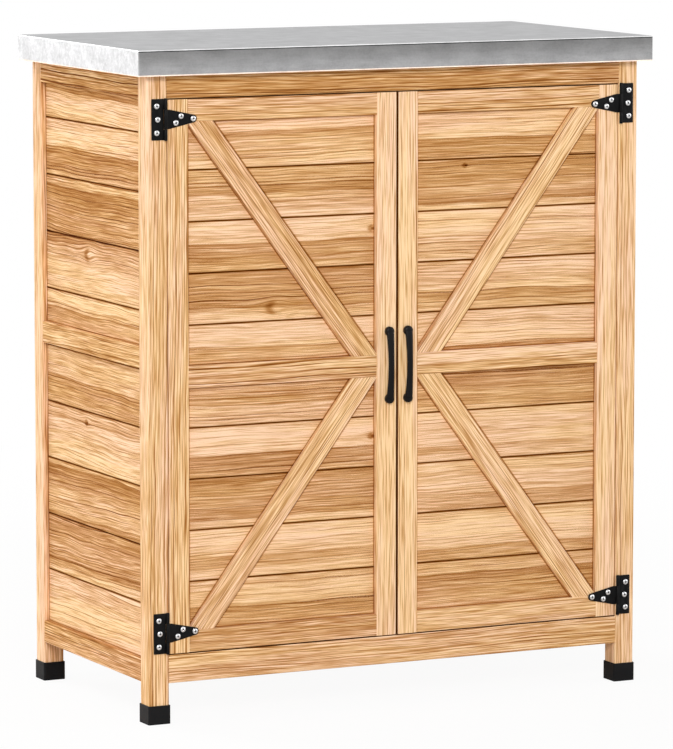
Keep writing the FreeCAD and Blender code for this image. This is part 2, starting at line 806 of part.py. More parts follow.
def build_hinges():
    """Leaves, pins, straps and their screws on both sides."""
    pins = []
    straps = {}
    for side, name in ((-1, "left"), (1, "right")):
        leaves = []
        straps[name] = []
        for height in hinge_heights:
            leaves.append(on_side(hinge_leaf(), side, height))
            straps[name].append(on_side(hinge_strap(), side, height))
            pins.append(on_side(hinge_pin(), side, height))
            for hole in leaf_holes:
                leaf_screws.add(hinge_screw_seat(hole, side, height), Y_AXIS)
            for hole in strap_holes:
                strap_screws[name].add(hinge_screw_seat(hole, side, height), Y_AXIS)
        save(name + "_hinge_leaves", leaves)
    save("hinge_pins", pins)
    save("leaf_screws", leaf_screws.screws)
    return straps


def build_door(name, side, straps, handle_inset):
    """One door: its frame, boards, braces, handle, straps and strike plate."""
    prefix = name + "_door_"
    handle_x = side * (middle_gap / 2 + handle_inset)
    bolts, bolt_holes = handle_screws(handle_x)
    strike, spur_holes = strike_plate(side * catch_x)
    holes = strap_screws[name].holes + bolt_holes + spur_holes
    timber = {
        "hinge_stile": hinge_stile(),
        "lock_stile": lock_stile(),
        "top_rail": door_rail(True),
        "middle_rail": door_middle_rail(),
        "bottom_rail": door_rail(False),
        "upper_brace": upper_brace(),
        "lower_brace": lower_brace(),
    }
    boards = door_boards()
    if side > 0:
        timber = {part: mirrored(shape) for part, shape in timber.items()}
        boards = [mirrored(b) for b in boards]
    for part, shape in timber.items():
        save(prefix + part, drilled(shape, holes))
    save(prefix + "boards", [drilled(b, holes) for b in boards])
    save(prefix + "handle", drilled(handle(handle_x), bolt_holes))
    save(prefix + "handle_screws", bolts)
    save(prefix + "hinge_straps", straps)
    save(prefix + "strap_screws", strap_screws[name].screws)
    save(prefix + "strike_plate", strike)


def build_carcass():
    """Posts, rails, walls, floor, shelf and worktop, with their fixings."""
    supports = cleats()
    brackets = top_brackets()
    housings, magnets = zip(*(catch_parts(x) for x in (-catch_x, catch_x)))
    holes = leaf_screws.holes + short_screws.holes + cleat_screws.holes + dowel_holes
    low = (bottom_rail_z, bottom_rail_z + side_bottom_rail_height)
    high = (side_top_rail_underside, frame_top)
    for name, side in (("left", -1), ("right", 1)):
        save("front_" + name + "_post", drilled(post(side, False), holes))
        save("back_" + name + "_post", drilled(post(side, True), holes))
    front_low = (bottom_rail_z, bottom_rail_z + front_bottom_rail_height)
    save("front_bottom_rail", drilled(front_rail(front_low), holes))
    save("front_top_rail", drilled(front_rail((door_top + door_edge_gap, frame_top)), holes))
    save("back_bottom_rail", drilled(back_rail(low, 1), holes))
    save("back_top_rail", drilled(back_rail(high, -1), holes))
    side_timber = {
        "bottom_rail": side_rail(low, 1),
        "middle_rail": side_batten(),
        "top_rail": side_rail(high, -1),
    }
    for part, shape in side_timber.items():
        save("left_side_" + part, drilled(shape, holes))
        save("right_side_" + part, drilled(mirrored(shape), holes))
    side_length = body_depth - 2 * post_side + 2 * groove_depth
    side_panel = boarded_panel(wall_board_thickness, wall_seams(), side_length)
    side_shift = half_width - face_recess
    middle_y = (front_y + back_y) / 2
    left_boards = placed(side_panel, -90, V(-side_shift, middle_y, 0))
    right_boards = placed(side_panel, 90, V(side_shift, middle_y, 0))
    save("left_side_boards", [drilled(b, holes) for b in left_boards])
    save("right_side_boards", [drilled(b, holes) for b in right_boards])
    back_length = body_width - 2 * post_side + 2 * groove_depth
    back_panel = boarded_panel(wall_board_thickness, wall_seams(), back_length)
    save("back_boards", placed(back_panel, 180, V(0, back_y - face_recess, 0)))
    floor_top = door_bottom - door_edge_gap
    save("floor_boards", slats(floor_board_count, (front_rail_back, back_y - rail_thickness),
                               (floor_top - floor_board_thickness, floor_top),
                               half_width - rail_thickness - slat_end_play))
    shelf_z = side_batten_bottom + shelf_cleat_lift + cleat_side
    save("shelf_boards", slats(shelf_board_count, (shelf_front, wall_inner_y),
                               (shelf_z, shelf_z + floor_board_thickness), wall_inner_x - slat_end_play))
    save("cleats", [drilled(c, holes) for c in supports])
    save("door_stop", drilled(door_stop(), holes))
    centre = post_side / 2
    feet = [foot_cap(sx * (half_width - centre), y) for sx in (-1, 1)
            for y in (front_y + centre, back_y - centre)]
    save("foot_caps", feet)
    save("top_core", drilled(top_core(), holes))
    save("top_sheet", top_sheet())
    save("top_brackets", brackets)
    save("catch_housings", list(housings))
    save("catch_magnets", list(magnets))
    save("short_screws", short_screws.screws)
    save("cleat_screws", cleat_screws.screws)
    save("frame_dowels", dowels)


plan_dowels()
hinge_straps = build_hinges()
build_carcass()
build_door("left", -1, hinge_straps["left"], left_handle_inset)
build_door("right", 1, hinge_straps["right"], right_handle_inset)
print(len(saved_nodes), "nodes written")
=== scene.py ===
"""The looks of a garden storage cabinet: oiled fir, black hinges and a galvanised worktop.

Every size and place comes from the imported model, in metres. Timber that is one piece keeps
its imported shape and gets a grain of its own. Boards, screws and handles are modelled here.
"""
import logging
import math
from dataclasses import dataclass, replace
from enum import Enum
from typing import Iterable, Optional, Sequence, Union

import bmesh
import bpy
from mathutils import Euler, Matrix, Vector


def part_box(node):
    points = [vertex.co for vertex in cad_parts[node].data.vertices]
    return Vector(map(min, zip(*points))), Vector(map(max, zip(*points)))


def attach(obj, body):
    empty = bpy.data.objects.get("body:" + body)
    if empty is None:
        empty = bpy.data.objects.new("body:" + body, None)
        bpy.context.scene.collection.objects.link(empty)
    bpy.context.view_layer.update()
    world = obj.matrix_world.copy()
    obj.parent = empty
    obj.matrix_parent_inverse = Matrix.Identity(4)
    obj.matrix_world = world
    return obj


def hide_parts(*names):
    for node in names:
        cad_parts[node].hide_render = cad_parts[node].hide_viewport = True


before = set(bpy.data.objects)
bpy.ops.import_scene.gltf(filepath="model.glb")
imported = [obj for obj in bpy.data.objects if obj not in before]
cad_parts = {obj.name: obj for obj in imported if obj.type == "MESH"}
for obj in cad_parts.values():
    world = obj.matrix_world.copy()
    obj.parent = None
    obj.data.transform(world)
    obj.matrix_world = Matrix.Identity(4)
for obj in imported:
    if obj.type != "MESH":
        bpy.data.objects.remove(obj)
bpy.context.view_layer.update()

log = logging.getLogger("cabinet")
MM = 0.001

Socket = bpy.types.NodeSocket
Value = Union["Term", Socket, float, int, Sequence[float]]
Triple = tuple[float, float, float]
Pair = tuple[float, float]


def srgb(red: int, green: int, blue: int) -> Triple:
    """A colour given in screen values from 0 to 255, in linear values.

    Args:
        red: Its red.
        green: Its green.
        blue: Its blue.

    Returns:
        The same colour for a node's input.
    """
    def linear(level: int) -> float:
        """One channel in linear light."""
        share = level / 255
        return share / 12.92 if share <= 0.04045 else ((share + 0.055) / 1.055) ** 2.4
    return linear(red), linear(green), linear(blue)


class Along(Enum):
    """The way a piece of timber runs."""

    X = Vector((1, 0, 0))
    Y = Vector((0, 1, 0))
    Z = Vector((0, 0, 1))


class Facing(Enum):
    """The way a face looks."""

    FRONT = Vector((0, -1, 0))
    BACK = Vector((0, 1, 0))
    LEFT = Vector((-1, 0, 0))
    RIGHT = Vector((1, 0, 0))
    UP = Vector((0, 0, 1))


# Node trees

BUMP_STRENGTH = 0.5
NOISE_RANGE = (0.3, 0.7)  # Where most of the noise lies


class Term:
    """A value in a node tree. Arithmetic with it adds the nodes that work out the result."""

    def __init__(self, graph: "Graph", socket: Socket) -> None:
        """Keeps the graph and the socket that gives the value."""
        self.graph = graph
        self.socket = socket

    def __add__(self, other: Value) -> "Term":
        """This plus another value."""
        return self.graph.math("ADD", self, other)

    def __sub__(self, other: Value) -> "Term":
        """This less another value."""
        return self.graph.math("SUBTRACT", self, other)

    def __mul__(self, other: Value) -> "Term":
        """This times another value."""
        return self.graph.math("MULTIPLY", self, other)

    def __truediv__(self, other: Value) -> "Term":
        """This divided by another value."""
        return self.graph.math("DIVIDE", self, other)

    def __abs__(self) -> "Term":
        """This without its sign."""
        return self.graph.math("ABSOLUTE", self)


class Graph:
    """A node tree that is built by calls."""

    def __init__(self, tree: bpy.types.NodeTree) -> None:
        """Keeps the tree that the calls add to."""
        self.tree = tree

    def add(self, kind: str, inputs: Optional[dict[Union[int, str], Value]] = None,
            **settings: object) -> bpy.types.Node:
        """Adds a node.

        Args:
            kind: The node's type name.
            inputs: Values for its inputs, by index or name.
            settings: Properties of the node itself.

        Returns:
            The new node.
        """
        node = self.tree.nodes.new(kind)
        for name, setting in settings.items():
            setattr(node, name, setting)
        for key, value in (inputs or {}).items():
            self.feed(node.inputs[key], value)
        return node

    def term(self, kind: str, inputs: Optional[dict[Union[int, str], Value]] = None,
             output: Union[int, str] = 0, **settings: object) -> Term:
        """Adds a node in the same way, and gives one of its outputs."""
        return Term(self, self.add(kind, inputs, **settings).outputs[output])

    def feed(self, socket: Socket, value: Value) -> None:
        """Links a value to an input, or sets the input's own value.

        Args:
            socket: The input.
            value: A term, a socket or a plain value.
        """
        if isinstance(value, Term):
            value = value.socket
        if isinstance(value, bpy.types.NodeSocket):
            self.tree.links.new(value, socket)
        elif isinstance(value, (tuple, list)) and socket.type == "RGBA" and len(value) == 3:
            socket.default_value = (*value, 1.0)
        else:
            socket.default_value = value

    def math(self, operation: str, *values: Value) -> Term:
        """One step of arithmetic on one to three values."""
        return self.term("ShaderNodeMath", dict(enumerate(values)), operation=operation)

    def smooth(self, value: Value, low: Value, high: Value) -> Term:
        """Rises smoothly from 0 at low to 1 at high."""
        inputs = {"Value": value, "From Min": low, "From Max": high}
        return self.term("ShaderNodeMapRange", inputs, "Result", interpolation_type="SMOOTHSTEP")

    def spread(self, value: Value, low: float, high: float) -> Term:
        """Stretches a value from the range 0 to 1 to the range low to high."""
        return self.math("MULTIPLY_ADD", value, high - low, low)

    def combine(self, x: Value, y: Value, z: Value) -> Term:
        """A vector from three values."""
        return self.term("ShaderNodeCombineXYZ", {0: x, 1: y, 2: z})

    def length(self, x: Term, y: Term) -> Term:
        """The length of a vector with two parts."""
        return self.math("SQRT", x * x + y * y)

    def bell(self, value: Term) -> Term:
        """A bell curve: 1 at 0, and near 0 from 2 on."""
        return self.math("EXPONENT", value * value * -1.0)

    def split(self, vector: Value) -> tuple[Term, Term, Term]:
        """The three values of a vector."""
        outputs = self.add("ShaderNodeSeparateXYZ", {0: vector}).outputs
        return Term(self, outputs[0]), Term(self, outputs[1]), Term(self, outputs[2])

    def noise(self, vector: Value, detail: float = 1.0) -> Term:
        """Smooth noise in space, mostly from 0.25 to 0.75."""
        return self.term("ShaderNodeTexNoise", {"Vector": vector, "Scale": 1.0, "Detail": detail})

    def noise_along(self, value: Value) -> Term:
        """Smooth noise along one value."""
        inputs = {"W": value, "Scale": 1.0, "Detail": 1.0}
        return self.term("ShaderNodeTexNoise", inputs, noise_dimensions="1D")

    def chance(self, value: Value, output: str = "Value") -> Term:
        """A random number or colour that depends only on one value."""
        return self.term("ShaderNodeTexWhiteNoise", {"W": value}, output, noise_dimensions="1D")

    def blend(self, share: Value, first: Value, second: Value, mode: str = "MIX") -> Term:
        """Mixes two colours."""
        inputs = {0: share, 6: first, 7: second}
        return self.term("ShaderNodeMix", inputs, 2, data_type="RGBA", blend_type=mode)

    def group(self, tree: bpy.types.NodeTree, inputs: dict[str, Value]) -> dict[str, Term]:
        """Places a shared group and gives its outputs by name."""
        outputs = self.add("ShaderNodeGroup", inputs, node_tree=tree).outputs
        return {output.name: Term(self, output) for output in outputs}

    def relief(self, shader: bpy.types.Node, height: Value, depth: float) -> None:
        """Feeds a shader the bumps of some height, in metres."""
        bump = {"Height": height, "Distance": depth, "Strength": BUMP_STRENGTH}
        self.feed(shader.inputs["Normal"], self.term("ShaderNodeBump", bump))

    def place(self) -> Term:
        """Where a point lies on the object."""
        return self.term("ShaderNodeTexCoord", output="Object")


def new_group(name: str, inputs: dict[str, Optional[float]],
              outputs: dict[str, str]) -> tuple[Graph, dict[str, Term], bpy.types.Node]:
    """Starts a shader group with named sockets.

    Args:
        name: The group's name.
        inputs: Default value by input name, or none for a vector.
        outputs: Socket kind by output name.

    Returns:
        The graph, its inputs by name, and its output node.
    """
    tree = bpy.data.node_groups.new(name, "ShaderNodeTree")
    for label, default in inputs.items():
        kind = "Vector" if default is None else "Float"
        socket = tree.interface.new_socket(label, in_out="INPUT", socket_type="NodeSocket" + kind)
        if default is not None:
            socket.default_value = default
    for label, kind in outputs.items():
        tree.interface.new_socket(label, in_out="OUTPUT", socket_type="NodeSocket" + kind)
    graph = Graph(tree)
    source = graph.add("NodeGroupInput")
    sink = graph.add("NodeGroupOutput")
    return graph, {label: Term(graph, source.outputs[label]) for label in inputs}, sink


PALE_YELLOW = srgb(254, 217, 169)
PALE_PINK = srgb(255, 217, 184)
RED_LOSS, GREEN_LOSS, BLUE_LOSS = 1.0, 1.56, 2.45


@dataclass(frozen=True)
class Wander:
    """How far the grain strays from straight, at one scale.

    Args:
        lengthwise: Cells of noise per metre along the grain.
        crosswise: The same across it.
        shift: How far apart two seeds lie in the noise.
        swing: How far the grain strays, in metres.
    """

    lengthwise: float
    crosswise: float
    shift: float
    swing: float


@dataclass(frozen=True)
class Grain:
    """How fir looks close up.

    Darkness is an optical density in red: 0 is the palest sapwood, and each 1 leaves 37 in 100
    of the red light and less of the green and blue. Scales hold cells of noise per metre along
    the grain and across it, and the noise's detail. The pair of a step, rise, fall or opening
    holds the values at which it starts and ends. The line beside a zone's edge has its middle
    and half its width. Every other pair holds the least and the most.
    """

    wanders: tuple[Wander, ...] = (
        Wander(2.2, 5.0, 13.7, 0.020), Wander(9.0, 15.0, 5.1, 0.0060), Wander(45.0, 80.0, 3.3, 0.0008))
    slant: float = 0.012
    seed_distance: float = 9.0

    ring_bunching: float = 0.007
    bunch_scale: float = 95.0
    ring_depth: Pair = (0.014, 0.034)
    depth_scale: float = 3.0
    depth_wander: float = 0.030
    seed_shift: float = 7.3
    ring_shift: float = 3.7
    weight_power: float = 2.5
    present_scale: float = 5.0
    line_rise: Pair = (0.60, 0.88)
    line_fall: Pair = (0.91, 1.0)
    line_weight: Pair = (0.3, 1.75)
    present_step: Pair = (0.30, 0.55)
    line_present: Pair = (0.3, 1.0)

    broad_scales: Triple = (4.0, 200.0, 2.0)
    band_scales: Triple = (1.6, 60.0, 1.0)
    fine_scales: Triple = (7.0, 560.0, 1.0)
    fibre_scales: Triple = (20.0, 950.0, 1.0)
    dash_scales: Triple = (26.0, 640.0, 1.0)
    wide_tint_scales: Triple = (2.0, 22.0, 1.0)
    fine_tint_scales: Triple = (9.0, 170.0, 1.0)
    band_step: Pair = (0.32, 0.68)
    dash_step: Pair = (0.55, 0.70)
    fine_tint: float = 0.5
    tint_step: Pair = (0.57, 0.93)
    rich_step: Pair = (0.1, 0.9)

    broad_brown: float = 0.26
    band_brown: float = 0.30
    middle_brown: float = -0.19
    patch_scale: float = 4.0
    heart_patches: Pair = (0.6, 1.4)
    zone_step: Pair = (-0.0006, 0.0010)
    zone_line: Pair = (0.0008, 0.0009)

    knot_nothing: float = 0.01 * MM
    knot_least: float = 1 * MM
    knot_stretch: float = 0.62
    knot_pull: float = -0.75
    knot_step: Pair = (1.2, 0.3)
    swell_scale: float = 0.34
    halo_scale: float = 1.4
    halo_place: float = -1.9
    halo_opening: Pair = (0.6, -1.0)

    brown_darkness: float = 0.64
    line_darkness: Pair = (0.46, 1.0)
    dash_darkness: Pair = (0.14, 0.24)
    fine_darkness: float = 0.72
    fibre_darkness: float = 1.60
    edge_darkness: float = 0.34
    knot_darkness: float = 1.1
    halo_darkness: float = 0.55
    # How dark full painted shade is, in the seams, at the frame and on the edges that doors close against.
    painted_shade_darkness: float = 1.7
    roughness: Pair = (0.6, 0.52)


def timber_group() -> bpy.types.NodeTree:
    """The grain of sawn fir, cut out of a log with pale sapwood and brown heartwood.

    Place is a point in the piece: along it, across its face, and out of its face, in metres.
    Log holds a seed, how brown the sapwood is, and where the log's middle lies across the
    face. Each Zone holds the sharp edge of some heartwood across the face, how brown it is
    (above the edge if positive, and below it if negative), and how far from the edge it fades.
    Knot holds a knot's place along and across the piece, and its radius. With a negative
    radius there is no knot, but a dark crescent and the grain bent around it. The input for
    painted shade is 1 where that shade is full: inside the seams, where boards run under the
    frame, and on the edges that a door closes against.
    """
    g, given, sink = new_group(
        "fir_grain",
        {"Place": None, "Log": None, "First zone": None, "Second zone": None, "Knot": None,
         "Painted shade": 0.0, "Ring width": 0.0045, "Waviness": 1.0,
         "Banding": 1.0, "Line strength": 1.0},
        {"Color": "Color", "Roughness": "Float", "Height": "Float"})
    look = Grain()
    along, across, out = g.split(given["Place"])
    seed, sap, pith = g.split(given["Log"])
    knot_along, knot_across, knot_radius = g.split(given["Knot"])
    dice = g.split(g.chance(seed, "Color"))
    far = dice[0] * look.seed_distance + along

    beside = (along - knot_along) * look.knot_stretch
    above = across - knot_across
    reach = g.math("MAXIMUM", abs(knot_radius), look.knot_nothing)
    share = g.length(beside, above) / reach
    swell = g.bell(share * look.swell_scale)
    crescent = g.bell(share * look.halo_scale + look.halo_place)
    open_side = g.smooth(beside / reach, *look.halo_opening)
    halo = crescent * open_side * g.smooth(abs(knot_radius), 0.0, look.knot_least)
    knot = g.smooth(share, *look.knot_step) * g.smooth(knot_radius, 0.0, look.knot_least)

    def strayed(wander: Wander) -> Term:
        """How far the grain strays at one scale."""
        place = g.combine(far * wander.lengthwise, across * wander.crosswise, seed * wander.shift)
        return (g.noise(place) - 0.5) * wander.swing

    slow, quick, tremble = (strayed(wander) for wander in look.wanders)
    bent = (slow + quick + tremble) * given["Waviness"] + across
    bent = g.spread(dice[2], -look.slant, look.slant) * along + bent
    bent = above * look.knot_pull * swell + bent

    def streaks(lengthwise: float, crosswise: float, detail: float) -> Term:
        """Noise drawn out along the grain."""
        place = g.combine(far * lengthwise, bent * crosswise, out * crosswise + seed)
        return g.noise(place, detail)

    def rings() -> Term:
        """The dark lines that end each year's growth, thin and of uneven strength."""
        deep = (g.noise_along(far * look.depth_scale) - 0.5) * given["Waviness"] * look.depth_wander + out
        radius = g.length(bent - pith, deep + g.spread(dice[1], *look.ring_depth))
        radius = (g.noise_along(radius * look.bunch_scale + seed) - 0.5) * look.ring_bunching + radius
        count = radius / given["Ring width"]
        ring = g.math("FLOOR", count)
        draw = g.chance(g.math("MULTIPLY_ADD", seed, look.seed_shift, ring))
        weight = g.math("POWER", draw, look.weight_power)
        place = g.combine(far * look.present_scale, ring * look.ring_shift + seed, 0.0)
        present = g.smooth(g.noise(place), *look.present_step)
        line = g.smooth(count - ring, *look.line_rise) - g.smooth(count - ring, *look.line_fall)
        return line * g.spread(weight, *look.line_weight) * g.spread(present, *look.line_present)

    def zone(given_zone: Term) -> tuple[Term, Term]:
        """How brown a zone of heartwood makes a point, and the dark line along its edge.

        Args:
            given_zone: The group's input of that zone.

        Returns:
            The brown and the line.
        """
        edge, brown, fade = g.split(given_zone)
        beyond = (bent - edge) * g.math("SIGN", brown)
        left = g.math("EXPONENT", g.math("MAXIMUM", beyond, 0.0) / (fade * -1.0))
        middle, half = look.zone_line
        rim = g.bell((beyond - middle) / half)
        return g.smooth(beyond, *look.zone_step) * left * abs(brown), rim * abs(brown)

    line = rings()
    broad = streaks(*look.broad_scales)
    fine = streaks(*look.fine_scales)
    fibre = streaks(*look.fibre_scales)
    dashes = g.smooth(streaks(*look.dash_scales), *look.dash_step)
    bands = g.smooth(streaks(*look.band_scales), *look.band_step)
    (first, first_rim), (second, second_rim) = zone(given["First zone"]), zone(given["Second zone"])

    heart = (first + second) * g.spread(g.noise_along(far * look.patch_scale), *look.heart_patches)
    mottle = broad * look.broad_brown + (bands * look.band_brown + look.middle_brown)
    depth = mottle * given["Banding"] + (sap + heart)
    rich = g.smooth(depth, *look.rich_step)

    lines = line * g.spread(rich, *look.line_darkness) + dashes * g.spread(rich, *look.dash_darkness)
    lines = lines + (fine - 0.5) * look.fine_darkness + (fibre - 0.5) * look.fibre_darkness
    dark = depth * look.brown_darkness + lines * given["Line strength"]
    dark = g.math("MAXIMUM", dark + (first_rim + second_rim) * look.edge_darkness, 0.0)
    dark = dark + halo * look.halo_darkness + knot * look.knot_darkness
    # Painted shade: darker in the seams, where boards run under the frame, and on the edges that doors close
    # against.
    dark = dark + given["Painted shade"] * look.painted_shade_darkness
    left = [g.math("EXPONENT", dark * -loss) for loss in (RED_LOSS, GREEN_LOSS, BLUE_LOSS)]
    tint = streaks(*look.wide_tint_scales) + streaks(*look.fine_tint_scales) * look.fine_tint
    pale = g.blend(g.smooth(tint, *look.tint_step), PALE_YELLOW, PALE_PINK)

    g.feed(sink.inputs["Color"], g.blend(1.0, pale, g.combine(*left), "MULTIPLY"))
    g.feed(sink.inputs["Roughness"], g.math("MAXIMUM", g.spread(line, *look.roughness), given["Painted shade"]))
    g.feed(sink.inputs["Height"], line + (fibre - dashes))
    return g.tree


def corner_group() -> bpy.types.NodeTree:
    """A painted dark line of shade where boards run under the frame around them.

    Place is along the boards and upwards, from the field's middle. A middle rail lies at a
    height Rail from there. A brace, if there is one, slopes on both sides of the rail. The
    painted shade is wider by Shelter to the right of each upright and brace, as a painted shadow.
    """
    g, given, sink = new_group(
        "corner_shade",
        {"Place": None, "Half width": 1.0, "Half height": 1.0,
         "Rail": 0.0, "Rail half": -1.0, "Slope": 0.0,
         "Brace height": 0.0, "Brace half": -1.0, "Reach": 0.002,
         "Painted shadow width": 0.0},
        {"Shade": "Float"})
    run, rise, _ = g.split(given["Place"])
    from_rail = abs(rise - given["Rail"])
    down = run * g.math("SINE", given["Slope"])
    beside = (from_rail - given["Brace height"]) * g.math("COSINE", given["Slope"]) - down
    right_side = g.math("LESS_THAN", beside * given["Slope"], 0.0)
    gaps = [given["Half width"] - run, given["Half width"] - given["Painted shadow width"] + run,
            given["Half height"] - abs(rise), from_rail - given["Rail half"],
            abs(beside) - (right_side * given["Painted shadow width"] + given["Brace half"])]
    nearest = gaps[0]
    for gap in gaps[1:]:
        nearest = g.math("MINIMUM", nearest, gap)
    g.feed(sink.inputs["Shade"], g.smooth(nearest, given["Reach"], 0.0))
    return g.tree


def closing_group() -> bpy.types.NodeTree:
    """Painted shade on the edges that a door closes against, behind the face, which darkens the gaps.

    Place is a point of the piece. Side is -1 or 1, for the way to the upright edge, which lies
    at Edge that way. The level edge is at the height Top. Hair is how near a point is to count
    as on an edge. Face is the depth of the piece's face. The shade grows to full over Reach
    behind the face, and pales from Fade start to Deep end.
    """
    g, given, sink = new_group(
        "closing_edge",
        {"Place": None, "Side": 1.0, "Edge": 9.0, "Top": 9.0,
         "Face": 0.0, "Hair": 0.0002, "Reach": 0.0006,
         "Fade start": 0.005, "Deep end": 0.008},
        {"Shade": "Float"})
    x, y, z = g.split(given["Place"])
    past = x * given["Side"] - (given["Edge"] - given["Hair"])
    over = z - (given["Top"] - given["Hair"])
    on_edge = g.math("GREATER_THAN", g.math("MAXIMUM", past, over), 0.0)
    depth = y - given["Face"]
    band = g.smooth(depth, 0.0, given["Reach"]) * g.smooth(depth, given["Deep end"], given["Fade start"])
    g.feed(sink.inputs["Shade"], on_edge * band)
    return g.tree


def dapple_group() -> bpy.types.NodeTree:
    """Soft blotches and fine grains, for metal, lacquer and moulded plastic."""
    g, given, sink = new_group(
        "dapple",
        {"Place": None, "Blotch": 0.03, "Grain": 0.0012},
        {"Blotches": "Float", "Grains": "Float"})
    for name, size, detail in (("Blotches", given["Blotch"], 3.0), ("Grains", given["Grain"], 2.0)):
        inputs = {0: given["Place"], "Scale": g.math("DIVIDE", 1.0, size)}
        place = g.term("ShaderNodeVectorMath", inputs, operation="SCALE")
        g.feed(sink.inputs[name], g.smooth(g.noise(place, detail), *NOISE_RANGE))
    return g.tree


# Finishes

def new_material(name: str) -> tuple[bpy.types.Material, Graph, bpy.types.Node]:
    """Starts a material, and gives it with its graph and its Principled BSDF.

    Args:
        name: Its name.

    Returns:
        The material, its graph and its shader.
    """
    material = bpy.data.materials.new(name)
    material.use_nodes = True
    return material, Graph(material.node_tree), material.node_tree.nodes["Principled BSDF"]


class Groups:
    """The shared shader groups, built once."""

    def __init__(self) -> None:
        """Builds the groups."""
        self.timber = timber_group()
        self.corners = corner_group()
        self.closing = closing_group()
        self.dapple = dapple_group()


@dataclass(frozen=True)
class Zone:
    """Heartwood with one sharp edge, in widths of the piece.

    Args:
        edge: The edge's place across the face, from the middle.
        brown: How brown it is. It lies above the edge if positive, and below if negative.
        fade: How far from the edge it pales.
    """

    edge: float = -1.0
    brown: float = 0.0
    fade: float = 1.0


EVEN = 9.0  # A zone's fade, in widths, where it is as brown all over the piece


@dataclass(frozen=True)
class Cut:
    """Where in the log a piece was sawn.

    Args:
        seed: Any number, different for each piece.
        sap: How brown the wood is outside its zones of heartwood.
        first: A zone of heartwood.
        second: Another one.
        pith: The place of the log's middle across the face, in widths from the piece's middle.
        knot: A knot's place along and across the piece, and its radius, in metres.
    """

    seed: float
    sap: float = 0.2
    first: Zone = Zone()
    second: Zone = Zone()
    pith: float = 1.6
    knot: Triple = (0.0, 0.0, 0.0)

    def places(self, width: float) -> dict[str, Triple]:
        """The timber group's inputs for a piece of some width, by name.

        Args:
            width: How wide the piece is, in metres.

        Returns:
            Each input's value.
        """
        zones = {name: (zone.edge * width, zone.brown, zone.fade * width)
                 for name, zone in (("First zone", self.first), ("Second zone", self.second))}
        return {"Log": (self.seed, self.sap, self.pith * width), **zones, "Knot": self.knot}


@dataclass(frozen=True)
class Field:
    """The part of a boarded panel that shows between the members of its frame, in metres.

    Its edges get painted shade.

    Args:
        middle: Its height above the floor.
        half_width: From its middle to the posts or stiles.
        half_height: From its middle to the rails.
        rail: The height of its middle rail above the field's middle.
        rail_half: Half the middle rail's width, or -1 without one.
        slope: The braces' angle, seen from the front.
        brace_height: The braces' middle above the middle rail's.
        brace_half: Half a brace's width, or -1 without one.
        painted_shadow_width: How much wider the painted shade is to the right of each upright and brace, as a
            painted shadow.
    """

    middle: float
    half_width: float
    half_height: float
    rail: float = 0.0
    rail_half: float = -1.0
    slope: float = 0.0
    brace_height: float = 0.0
    brace_half: float = -1.0
    painted_shadow_width: float = 0.0


@dataclass(frozen=True)
class Closing:
    """The edges of a piece that a door closes against and that get painted shade, in metres.

    Args:
        side: -1 or 1, for the way to the upright edge.
        edge: How far that way the upright edge lies.
        top: The height of the level edge.
        face: The depth of the piece's face.
    """

    side: float
    edge: float
    top: float
    face: float


